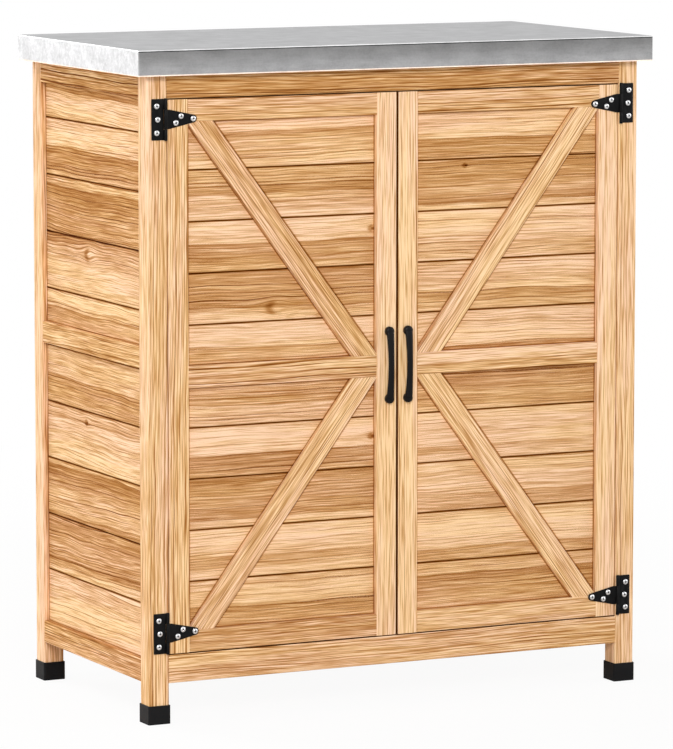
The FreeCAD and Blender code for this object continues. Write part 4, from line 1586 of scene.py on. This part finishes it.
@dataclass
class Handle:
    """A bow handle on two round feet, in metres.

    Args:
        node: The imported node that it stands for.
        body: The body that it rides on.
        spacing: From foot to foot.
        foot_radius: A foot's radius.
        foot_side: How far a foot's straight side stands out from the door.
        foot_top: How far its dome stands out.
        foot_bevel: How much is taken off the corner that touches the door.
        foot_sides: How many sides a foot has.
        end_width: The bar's width at its ends.
        middle_width: Its width at the middle.
        bar_depth: How thick it is.
        squareness: The power that makes its round section more square, below 1.
        rise: How far it stands out at the middle.
        bow: How much less it stands out at its ends.
        stations: How many lengths the bar is made of.
        sides: How many sides its section has.
    """

    node: str
    body: str
    spacing: float = 96 * MM
    foot_radius: float = 6.75 * MM
    foot_side: float = 4.4 * MM
    foot_top: float = 7.4 * MM
    foot_bevel: float = 0.3 * MM
    foot_sides: int = 32
    end_width: float = 11.6 * MM
    middle_width: float = 8.6 * MM
    bar_depth: float = 4.8 * MM
    squareness: float = 0.7
    rise: float = 11.4 * MM
    bow: float = 4.0 * MM
    stations: int = 36
    sides: int = 16

    def build(self, material: bpy.types.Material) -> None:
        """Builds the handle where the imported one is.

        Args:
            material: Its finish.
        """
        low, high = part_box(self.node)
        middle = (low + high) / 2
        shape = bmesh.new()
        self.add_bar(shape)
        for end in (-1, 1):
            self.add_foot(shape, end * self.spacing / 2)
        made = from_bmesh(self.node + "_cast", shape)
        made.data.shade_smooth()
        made.data.transform(Matrix.Translation((middle.x, high.y, middle.z)))
        finish_piece(made, material, self.body, self.node)

    def height(self, share: float) -> float:
        """The bar's middle line in front of the door, from end (-1 or 1) to middle (0)."""
        return self.rise - self.bar_depth / 2 - self.bow * share ** 2

    def add_bar(self, shape: bmesh.types.BMesh) -> None:
        """Adds the bar, whose section is a rounded oblong.

        Args:
            shape: What it is added to.
        """
        rings = []
        half, near = self.spacing / 2, 0.01
        for step in range(self.stations + 1):
            share = -1 + 2 * step / self.stations
            width = self.middle_width + (self.end_width - self.middle_width) * share ** 2
            climb = self.height(min(1, share + near)) - self.height(max(-1, share - near))
            lean = math.atan(climb / (2 * near * half))
            ring = []
            for k in range(self.sides):
                angle = math.tau * k / self.sides
                x = self.squared(math.cos(angle)) * width / 2
                d = self.squared(math.sin(angle)) * self.bar_depth / 2
                y = -(self.height(share) + d * math.cos(lean))
                z = share * half - d * math.sin(lean)
                ring.append(shape.verts.new((x, y, z)))
            rings.append(ring)
        for one, two in zip(rings, rings[1:]):
            for k in range(self.sides):
                n = (k + 1) % self.sides
                shape.faces.new((one[k], one[n], two[n], two[k]))
        shape.faces.new(rings[0])
        shape.faces.new(rings[-1])

    def squared(self, value: float) -> float:
        """Pushes a cosine or sine outwards, so that a circle becomes a rounded square."""
        return math.copysign(abs(value) ** self.squareness, value)

    def add_foot(self, shape: bmesh.types.BMesh, z: float) -> None:
        """Adds a round foot with a straight side and a domed top, into which the bar runs.

        Args:
            shape: What it is added to.
            z: The foot's height above the handle's middle.
        """
        r, side, top, bevel = self.foot_radius, self.foot_side, self.foot_top, self.foot_bevel
        angles = [math.radians(angle) for angle in range(0, 90, DOME_STEP)]
        dome = [(r * math.cos(a), side + (top - side) * math.sin(a)) for a in angles]
        outline = [(0.0, 0.0), (r - bevel, 0.0), (r, bevel), *dome, (0.0, top)]
        points = [Vector((radius, -rise, z)) for radius, rise in outline]
        turn_round(shape, points, Vector((0, 0, z)), Along.Y, self.foot_sides)


# Sub-assemblies

FAR = 9.0  # Past every piece, in metres, for a piece without an upright edge to close against
HINGE_ROUNDING = 0.25 * MM
BRACKET_ROUNDING = 0.2 * MM


@dataclass(frozen=True)
class Shop:
    """What every sub-assembly needs: finishes and trees."""

    frame_fir: TimberFinish
    brace_fir: TimberFinish
    inside_fir: TimberFinish
    board_fir: TimberFinish
    slat_fir: bpy.types.Material
    hinge_black: bpy.types.Material
    handle_black: bpy.types.Material
    foot_plastic: bpy.types.Material
    catch_plastic: bpy.types.Material
    galvanised: bpy.types.Material
    zinc: bpy.types.Material
    screw_steel: bpy.types.Material
    boards: BoardTree
    screws: ScrewTree


@dataclass
class Door:
    """A framed, boarded and braced door on two strap hinges.

    Args:
        name: Its body's name.
        shop: The finishes and trees.
        cuts: Where in the log each board was sawn, from the top down.
        members: The same for each member of the frame, apart from its seed.
        seed: The first member's seed.
        seed_step: From one member's seed to the next.
        board_count: How many boards it has.
        board_pitch: The width of all boards but the first and the last.
        painted_shadow_width: How much wider the painted shade is to the right of each upright and brace, as a
            painted shadow.
    """

    name: str
    shop: Shop
    cuts: list[Cut]
    members: dict[str, Cut]
    seed: float
    seed_step: float = 0.1
    board_count: int = 10
    board_pitch: float = 72 * MM
    painted_shadow_width: float = 2.4 * MM

    def node(self, part: str) -> str:
        """The name of one of the door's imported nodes."""
        return f"{self.name}_{part}"

    def build(self) -> None:
        """Dresses the frame and models the boards, handle and fixings."""
        self.dress_frame()
        self.build_boards()
        Handle(self.node("handle"), self.name).build(self.shop.handle_black)
        softened(self.node("hinge_straps"), HINGE_ROUNDING, self.name, self.shop.hinge_black)
        screws = ScrewSet(self.node("strap_screws"), self.name, seed=3)
        screws.build(self.shop.screws, self.shop.screw_steel)
        dress_node(self.node("handle_screws"), self.shop.screw_steel)
        dress_node(self.node("strike_plate"), self.shop.zinc)

    def dress_frame(self) -> None:
        """Gives each member of the frame a grain along its length."""
        front = Facing.FRONT.value
        low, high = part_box(self.node("lock_stile"))
        # Painted shade on the lock stile's closing edge and on the door's top edge, to darken the gaps.
        if self.name == "left_door":
            closing = Closing(1.0, high.x, high.z, low.y)
        else:
            closing = Closing(-1.0, -low.x, high.z, low.y)
        for number, (part, cut) in enumerate(self.members.items()):
            node = self.node(part)
            along = Along.Z.value if part.endswith("stile") else Along.X.value
            cut = replace(cut, seed=self.seed + self.seed_step * number)
            if part.endswith("brace"):
                dress_node(node, self.shop.brace_fir.for_member(node, run_of(node), front, cut))
            else:
                dress_node(node, self.shop.frame_fir.for_member(node, along, front, cut, closing))

    def build_boards(self) -> None:
        """Lays the boards behind the frame."""
        node = self.node("boards")
        low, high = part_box(node)
        middle, half = (low.z + high.z) / 2, self.board_count // 2
        seams = [low.z, *(middle + k * self.board_pitch for k in range(1 - half, half)), high.z]
        rail_low, rail_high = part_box(self.node("middle_rail"))
        brace = self.node("upper_brace")
        brace_low, brace_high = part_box(brace)
        run = run_of(brace)
        # Where the painted shade and painted shadow fall around the boards.
        seen = Field(
            middle, (rail_high.x - rail_low.x) / 2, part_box(self.node("top_rail"))[0].z - middle,
            0.0, (rail_high.z - rail_low.z) / 2, math.atan2(run.z, run.x),
            (brace_low.z + brace_high.z) / 2 - middle, half_across(brace, run), self.painted_shadow_width)
        finish = self.shop.board_fir.for_boards("fir_" + node, seen)
        Panel(node, self.name, Facing.FRONT, seams, self.cuts).build(self.shop.boards, finish)


@dataclass(frozen=True)
class SlatCuts:
    """Where in the log loose slats were sawn, which follows from each slat's number.

    Args:
        seed: The first slat's seed.
        seed_step: From one slat's seed to the next.
        sap: How brown the wood is outside its heartwood.
        width: A slat's width, in metres.
        edge_step: How far apart the slats' three edges of heartwood lie, in widths.
        brown: How brown the first slat's heartwood is.
        brown_step: How much less brown each of the next three is.
        fade: How far from its edge the heartwood pales, in widths.
    """

    seed: float = 20.0
    seed_step: float = 1.7
    sap: float = 0.12
    width: float = 70 * MM
    edge_step: float = 0.3
    brown: float = 0.55
    brown_step: float = 0.25
    fade: float = 0.6

    def cut(self, number: int, shift: int) -> Cut:
        """The cut of one slat.

        Args:
            number: Which slat it is.
            shift: What is added to the seed, to set one node's slats apart from another's.

        Returns:
            The cut.
        """
        edge = self.edge_step * (number % 3 - 1)
        brown = self.brown - self.brown_step * (number % 4)
        return Cut(self.seed + number * self.seed_step + shift, self.sap, Zone(edge, brown, self.fade))


@dataclass
class Carcass:
    """Posts, rails, boarded walls, floor, shelf and their fixings.

    Args:
        shop: The finishes and trees.
        members: The way each post and rail runs and looks, and its cut apart from its seed.
        cuts: Where in the log the left side's boards were sawn, from the top down.
        body: Its body's name.
        seed: What the members' seeds count up from.
        seed_step: From one member's seed to the next.
        wall_seed_step: The same for the boards of the other walls, for each board they are shifted.
        wall_waviness: How wavy the grain of the walls' boards is.
        wall_pitch: The width of all boards but the first and the last.
        wall_seam_start: The height of the lowest seam.
        slats: The cuts of the floor, the shelf and the cleats.
    """

    shop: Shop
    members: dict[str, tuple[Along, Facing, Cut]]
    cuts: list[Cut]
    body: str = "carcass"
    seed: float = 2.63
    seed_step: float = 0.37
    wall_seed_step: float = 10.0
    wall_waviness: float = 1.4
    wall_pitch: float = 82.4 * MM
    wall_seam_start: float = 166 * MM
    slats: SlatCuts = SlatCuts()

    def build(self) -> None:
        """Dresses and models everything that doesn't move, apart from the worktop."""
        self.dress_frame()
        self.build_walls()
        self.dress_inside()
        self.build_fixings()

    def dress_frame(self) -> None:
        """Gives each post and rail a grain along its length."""
        seed = self.seed
        for node, (along, facing, cut) in self.members.items():
            seed += self.seed_step
            low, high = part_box(node)
            # The bottom rail's top face, under the doors, gets painted shade to darken the gap.
            closing = Closing(1.0, FAR, high.z, low.y) if node == "front_bottom_rail" else None
            dress_node(node, self.shop.frame_fir.for_member(
                node, along.value, facing.value, replace(cut, seed=seed), closing))

    def build_walls(self) -> None:
        """Lays the boards of the three closed sides.

        The right side and the back have the left side's boards in a shifted order, with
        other seeds.
        """
        fir = replace(self.shop.board_fir, waviness=self.wall_waviness)
        for node, facing, turn in (("left_side_boards", Facing.LEFT, 0),
                                   ("right_side_boards", Facing.RIGHT, 3), ("back_boards", Facing.BACK, 6)):
            low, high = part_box(node)
            seams = [low.z]
            height = self.wall_seam_start
            while height < high.z:
                seams.append(height)
                height += self.wall_pitch
            seams.append(high.z)
            cuts = [replace(cut, seed=cut.seed + turn * self.wall_seed_step)
                    for cut in self.cuts[turn:] + self.cuts[:turn]]
            finish = fir.for_boards("fir_" + node, self.field_behind(node))
            Panel(node, self.body, facing, seams, cuts).build(self.shop.boards, finish)

    def field_behind(self, node: str) -> Field:
        """The part of a wall's boards that shows between the posts and rails.

        Args:
            node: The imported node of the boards.

        Returns:
            The part that shows.
        """
        wall = node.removesuffix("_boards")
        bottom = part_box(f"{wall}_bottom_rail")[1].z
        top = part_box(f"{wall}_top_rail")[0].z
        low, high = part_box(node)
        post_low, post_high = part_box("back_left_post")
        covered = (high.y - post_low.y) if "side" in wall else (post_high.x - low.x)
        half_width = max(high.x - low.x, high.y - low.y) / 2 - covered
        middle = (bottom + top) / 2
        if "side" not in wall:
            return Field(middle, half_width, (top - bottom) / 2)
        rail_low, rail_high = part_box(f"{wall}_middle_rail")
        return Field(middle, half_width, (top - bottom) / 2, (rail_low.z + rail_high.z) / 2 - middle,
                     (rail_high.z - rail_low.z) / 2)

    def dress_inside(self) -> None:
        """Models the slats and dresses what is inside the cabinet."""
        for node, along in (("floor_boards", Along.X), ("shelf_boards", Along.X), ("cleats", Along.Y)):
            self.planed_slats(node, along)
        for node, cut in (("door_stop", Cut(9.1, 0.3)), ("frame_dowels", Cut(9.3, 0.2))):
            dress_node(node, self.shop.inside_fir.for_member(
                node, Along.X.value, Facing.FRONT.value, cut))

    def planed_slats(self, node: str, along: Along) -> None:
        """Makes a copy of packed slats in which each slat has its own grain.

        Args:
            node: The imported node.
            along: The way the slats run.
        """
        made = from_bmesh(node + "_planed", packed_shape(node))
        up = Facing.UP.value
        across = up.cross(along.value)
        boxes = []
        for solid in islands(node):
            low, high = corners_of(solid)
            boxes.append(((low + high) / 2, (high - low) / 2))
        places = made.data.attributes.new("place", "FLOAT_VECTOR", "POINT")
        cuts = []
        for index, vertex in enumerate(made.data.vertices):
            number = min(range(len(boxes)), key=lambda i: self.outside(vertex.co, *boxes[i]))
            place = vertex.co - boxes[number][0]
            places.data[index].vector = (place.dot(along.value), place.dot(across), place.dot(up))
            cuts.append((self.slats.cut(number, len(node)), self.slats.width))
        mark_cuts(made.data, cuts)
        finish_piece(made, self.shop.slat_fir, self.body, node)

    @staticmethod
    def outside(place: Vector, middle: Vector, half: Vector) -> float:
        """How far a point lies outside a box, and 0 inside it."""
        return sum(max(0.0, abs(place[i] - middle[i]) - half[i]) for i in range(3))

    def build_fixings(self) -> None:
        """Models or dresses the hinges' leaves, screws, brackets, catches and feet."""
        shop = self.shop
        for side in ("left", "right"):
            softened(f"{side}_hinge_leaves", HINGE_ROUNDING, self.body, shop.hinge_black)
        dress_node("hinge_pins", shop.hinge_black)
        for node, seed in (("leaf_screws", 11), ("short_screws", 12), ("cleat_screws", 13)):
            ScrewSet(node, self.body, seed).build(shop.screws, shop.screw_steel)
        softened("top_brackets", BRACKET_ROUNDING, self.body, shop.zinc)
        dress_node("catch_housings", shop.catch_plastic)
        dress_node("catch_magnets", shop.zinc)
        dress_node("foot_caps", shop.foot_plastic)


@dataclass
class Worktop:
    """The timber core and the sheet folded over it."""

    shop: Shop

    def build(self) -> None:
        """Dresses both."""
        core = self.shop.inside_fir.for_member("top_core", Along.X.value, Facing.UP.value, Cut(5.5, 0.2))
        dress_node("top_core", core)
        dress_node("top_sheet", self.shop.galvanised)


# Studio

@dataclass(frozen=True)
class Lamp:
    """A square soft lamp, in metres and watts."""

    name: str
    place: Triple
    size: float
    power: float


@dataclass(frozen=True)
class Studio:
    """The camera, floor, lamps and white surroundings, in metres.

    Args:
        camera_place: Where the camera stands.
        camera_pitch: How far it looks up from straight down, in degrees.
        camera_yaw: How far it is turned to the left, in degrees.
        lens: Its focal length, in millimetres.
        sensor: Its sensor's width, in millimetres.
        sight: How far it sees.
        lamps: The lamps.
        aim: Where they look.
        ambient: How bright the surroundings light the object.
        floor_size: The floor's width.
        floor_colour: The floor's own colour.
        floor_white: The share of white that the camera sees on the floor near its middle.
        floor_fade: Where on the floor that share starts to grow, and where it is full.
    """

    camera_place: Triple = (-3.1586, -6.4130, 1.3527)
    camera_pitch: float = 82.793
    camera_yaw: float = -26.242
    lens: float = 238.4
    sensor: float = 36.0
    sight: float = 100.0
    lamps: tuple[Lamp, ...] = (
        Lamp("key", (-3.4, -7.2, 4.4), 2.6, 400), Lamp("side", (-8.5, 0.6, 2.6), 3.0, 190),
        Lamp("fill", (7.5, -3.5, 3.0), 4.0, 155), Lamp("back", (-3.0, 6.5, 4.5), 3.0, 300))
    aim: Triple = (0.0, 0.0, 0.5)
    ambient: float = 0.32
    floor_size: float = 30.0
    floor_colour: Triple = srgb(244, 243, 241)
    floor_white: float = 0.94
    floor_fade: Pair = (0.6, 2.5)

    def build(self) -> None:
        """Builds all of it."""
        self.add_camera()
        self.add_floor()
        self.add_world()
        for lamp in self.lamps:
            self.add_lamp(lamp)
        bpy.context.scene.view_settings.view_transform = "Standard"

    def add_camera(self) -> None:
        """The camera at the photograph's viewing angle."""
        lens = bpy.data.cameras.new("camera")
        lens.lens = self.lens
        lens.sensor_width = self.sensor
        lens.clip_end = self.sight
        camera = add_object("camera", lens)
        camera.location = self.camera_place
        camera.rotation_euler = Euler((math.radians(self.camera_pitch), 0, math.radians(self.camera_yaw)))
        bpy.context.scene.camera = camera

    def add_floor(self) -> None:
        """A plain pale floor that looks white to the camera and keeps a faint shadow."""
        half = self.floor_size / 2
        corners = [Vector((x, y, 0)) for x, y in ((-half, -half), (half, -half), (half, half), (-half, half))]
        floor = mesh_object("floor", corners, [(0, 1, 2, 3)])
        material = bpy.data.materials.new("floor_white")
        material.use_nodes = True
        material.node_tree.nodes.clear()
        graph = Graph(material.node_tree)
        plain = graph.term("ShaderNodeBsdfDiffuse", {"Color": self.floor_colour})
        bright = graph.term("ShaderNodeEmission", {"Color": (1.0, 1.0, 1.0), "Strength": 1.0})
        distance = graph.term("ShaderNodeVectorMath", {0: graph.place()}, "Value", operation="LENGTH")
        white = graph.spread(graph.smooth(distance, *self.floor_fade), self.floor_white, 1.0)
        share = graph.term("ShaderNodeLightPath", output="Is Camera Ray") * white
        mixed = graph.term("ShaderNodeMixShader", {0: share, 1: plain, 2: bright})
        graph.add("ShaderNodeOutputMaterial", {"Surface": mixed})
        floor.data.materials.append(material)

    def add_world(self) -> None:
        """White to the camera and in reflections, and a soft even light on the object."""
        world = bpy.data.worlds.new("studio")
        bpy.context.scene.world = world
        world.use_nodes = True
        world.node_tree.nodes.clear()
        graph = Graph(world.node_tree)
        path = graph.add("ShaderNodeLightPath").outputs
        seen = graph.math("MAXIMUM", path["Is Camera Ray"], path["Is Glossy Ray"])
        seen = graph.math("MAXIMUM", seen, path["Is Transmission Ray"])
        strength = graph.spread(seen, self.ambient, 1.0)
        light = graph.term("ShaderNodeBackground", {"Color": (1.0, 1.0, 1.0), "Strength": strength})
        graph.add("ShaderNodeOutputWorld", {"Surface": light})

    def add_lamp(self, lamp: Lamp) -> None:
        """Adds one lamp, which looks at the middle of the cabinet.

        Args:
            lamp: Its name, place, size and power.
        """
        light = bpy.data.lights.new(lamp.name, "AREA")
        light.size = lamp.size
        light.energy = lamp.power
        made = add_object(lamp.name, light)
        made.location = lamp.place
        made.rotation_euler = (Vector(self.aim) - Vector(lamp.place)).to_track_quat("-Z", "Y").to_euler()


def open_shop() -> Shop:
    """Builds the finishes and the trees."""
    groups = Groups()
    frame_fir = TimberFinish(groups, ring_width=3.9 * MM, waviness=0.45, banding=0.55, line_strength=1.2)
    sheet_low, sheet_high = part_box("top_sheet")
    return Shop(
        frame_fir=frame_fir,
        brace_fir=replace(frame_fir, ring_width=3.4 * MM, waviness=0.35, banding=0.45),
        inside_fir=TimberFinish(groups, ring_width=5.0 * MM, waviness=0.8),
        board_fir=TimberFinish(groups),
        slat_fir=TimberFinish(groups, waviness=0.8).for_boards("fir_inside_slats"),
        hinge_black=DappledFinish(
            groups, "hinge_black", srgb(13, 13, 14), srgb(7, 7, 8), smooth=0.40, rough=0.52,
            grain=0.6 * MM, specular=0.12).material(),
        handle_black=DappledFinish(
            groups, "handle_black", srgb(14, 12, 12), srgb(8, 7, 7), smooth=0.32, rough=0.44,
            grain=0.8 * MM, specular=0.16).material(),
        foot_plastic=DappledFinish(
            groups, "foot_plastic", srgb(17, 17, 19), srgb(10, 10, 12), smooth=0.42, rough=0.56,
            grain=0.5 * MM, specular=0.16).material(),
        catch_plastic=DappledFinish(
            groups, "catch_plastic", srgb(228, 224, 214), srgb(214, 210, 200), smooth=0.4,
            rough=0.5).material(),
        galvanised=GalvanisedFinish(groups, sheet_low.z, sheet_high.z).material(),
        zinc=DappledFinish(
            groups, "zinc_plated", srgb(208, 209, 211), srgb(182, 183, 186), metallic=1.0, smooth=0.25,
            rough=0.4).material(),
        screw_steel=ScrewFinish(groups).material(),
        boards=BoardTree(),
        screws=ScrewTree(),
    )


FRAME_MEMBERS = {
    "front_left_post": (Along.Z, Facing.FRONT, Cut(0, 0.04, Zone(0.44, -0.18, EVEN))),
    "front_right_post": (Along.Z, Facing.FRONT, Cut(0, 0.16)),
    "back_left_post": (Along.Z, Facing.BACK, Cut(0, 0.04, Zone(-0.44, 0.18, EVEN))),
    "back_right_post": (Along.Z, Facing.BACK, Cut(0, 0.16)),
    # Its brown is partly its own tone and partly painted shade under the worktop.
    "front_top_rail": (Along.X, Facing.FRONT, Cut(0, 0.70)),
    "front_bottom_rail": (Along.X, Facing.FRONT, Cut(0, 0.33)),
    "back_top_rail": (Along.X, Facing.BACK, Cut(0, 0.40)),
    "back_bottom_rail": (Along.X, Facing.BACK, Cut(0, 0.30)),
    "left_side_top_rail": (Along.Y, Facing.LEFT, Cut(0, 0.62)),
    "left_side_middle_rail": (Along.Y, Facing.LEFT, Cut(0, 0.46)),
    "left_side_bottom_rail": (Along.Y, Facing.LEFT, Cut(0, 0.50)),
    "right_side_top_rail": (Along.Y, Facing.RIGHT, Cut(0, 0.62)),
    "right_side_middle_rail": (Along.Y, Facing.RIGHT, Cut(0, 0.46)),
    "right_side_bottom_rail": (Along.Y, Facing.RIGHT, Cut(0, 0.50))}
LEFT_DOOR_MEMBERS = {
    "hinge_stile": Cut(0, 0.24), "lock_stile": Cut(0, -0.04), "top_rail": Cut(0, 0.33),
    "middle_rail": Cut(0, 0.28, Zone(0.0, -0.23, EVEN)), "bottom_rail": Cut(0, 0.56),
    "upper_brace": Cut(0, 0.40), "lower_brace": Cut(0, 0.22)}
RIGHT_DOOR_MEMBERS = {
    "hinge_stile": Cut(0, -0.01), "lock_stile": Cut(0, -0.02), "top_rail": Cut(0, 0.36),
    "middle_rail": Cut(0, -0.04, Zone(-0.05, -0.42, EVEN)), "bottom_rail": Cut(0, 0.23),
    "upper_brace": Cut(0, 0.14), "lower_brace": Cut(0, 0.18)}
LEFT_DOOR_CUTS = [
    Cut(101.3, 0.03, Zone(0.15, -0.50, 0.30)),
    Cut(102.1, 0.05, Zone(-0.37, 0.32, 3.0), Zone(-0.04, 0.50, 0.20)),
    Cut(103.7, 0.10, Zone(0.05, -0.85, 0.60), knot=(0.1435, 0.0150, 0.0026)),
    Cut(104.2, 0.20, Zone(0.50, -0.75, 0.25), Zone(-0.27, 0.60, 0.30), pith=-0.45,
        knot=(-0.0090, -0.0180, -0.0048)),
    Cut(105.9, 0.03, Zone(0.00, -0.55, 0.35)),
    Cut(106.4, 0.31, Zone(-0.08, 0.45, 0.15)),
    Cut(107.5, -0.05, Zone(-0.08, -0.85, 0.60), knot=(0.1435, 0.0075, 0.0026)),
    Cut(108.8, 0.15, Zone(0.50, -0.80, 0.30), Zone(-0.32, 0.50, 0.30)),
    Cut(109.2, 0.00, Zone(-0.08, -0.50, 0.25)),
    Cut(110.6, 0.24, Zone(-0.05, -0.45, 0.25))]
RIGHT_DOOR_CUTS = [
    Cut(201.4, 0.07, Zone(-0.13, -0.80, 0.60)),
    Cut(202.9, 0.05, Zone(0.50, -0.80, 0.40), Zone(-0.36, 0.60, 0.35), knot=(-0.0650, 0.0265, 0.0020)),
    Cut(203.3, 0.03, Zone(-0.12, -0.50, 0.20)),
    Cut(204.7, 0.15, Zone(-0.10, -0.50, 0.30)),
    Cut(205.1, 0.06, Zone(-0.19, -0.85, 0.40)),
    # Its brown top is partly heartwood and partly painted shade under the middle rail.
    Cut(206.6, 0.14, Zone(0.50, -0.95, 0.45), Zone(-0.40, 0.35, 0.20)),
    Cut(207.2, 0.07, Zone(-0.22, -0.45, 0.15)),
    Cut(208.5, 0.10, Zone(-0.15, -0.50, 0.35)),
    Cut(209.9, -0.02, Zone(0.39, 0.35, 0.50), Zone(-0.25, -0.60, 0.50)),
    Cut(210.3, 0.33, Zone(0.25, -0.50, 0.35))]
LEFT_SIDE_CUTS = [
    Cut(301.8, 0.18, Zone(0.14, 0.70, 0.60)),
    Cut(302.2, 0.13, Zone(0.04, -0.80, 0.60)),
    Cut(303.6, 0.35, Zone(0.35, -0.65, 0.45), Zone(-0.40, -0.30, 0.50)),
    Cut(304.1, 0.14, Zone(0.37, 0.65, 0.60), Zone(0.37, -0.35, 0.25), knot=(-0.0190, 0.0190, -0.0050)),
    Cut(305.4, 0.18, Zone(0.19, -0.50, 0.40)),
    Cut(306.9, 0.29, Zone(-0.05, -0.40, 0.60)),
    Cut(307.7, 0.07, Zone(0.27, 0.40, 0.50), knot=(-0.0290, 0.0250, 0.0026)),
    Cut(308.3, 0.28, Zone(0.42, -0.70, 0.35), Zone(-0.38, -0.40, 0.40)),
    Cut(309.5, 0.31, Zone(0.50, -0.60, 0.30), Zone(-0.35, 0.35, 0.30)),
    Cut(310.8, -0.07, Zone(0.45, -0.25, 0.30))]


def main() -> None:
    """Builds the cabinet and its studio, in order."""
    logging.basicConfig(level=logging.INFO, format="%(message)s")
    shop = open_shop()
    Studio().build()
    Carcass(shop, FRAME_MEMBERS, LEFT_SIDE_CUTS).build()
    Door("left_door", shop, LEFT_DOOR_CUTS, LEFT_DOOR_MEMBERS, 32.3).build()
    Door("right_door", shop, RIGHT_DOOR_CUTS, RIGHT_DOOR_MEMBERS, 48.3).build()
    Worktop(shop).build()


if __name__ == "__main__":
    main()
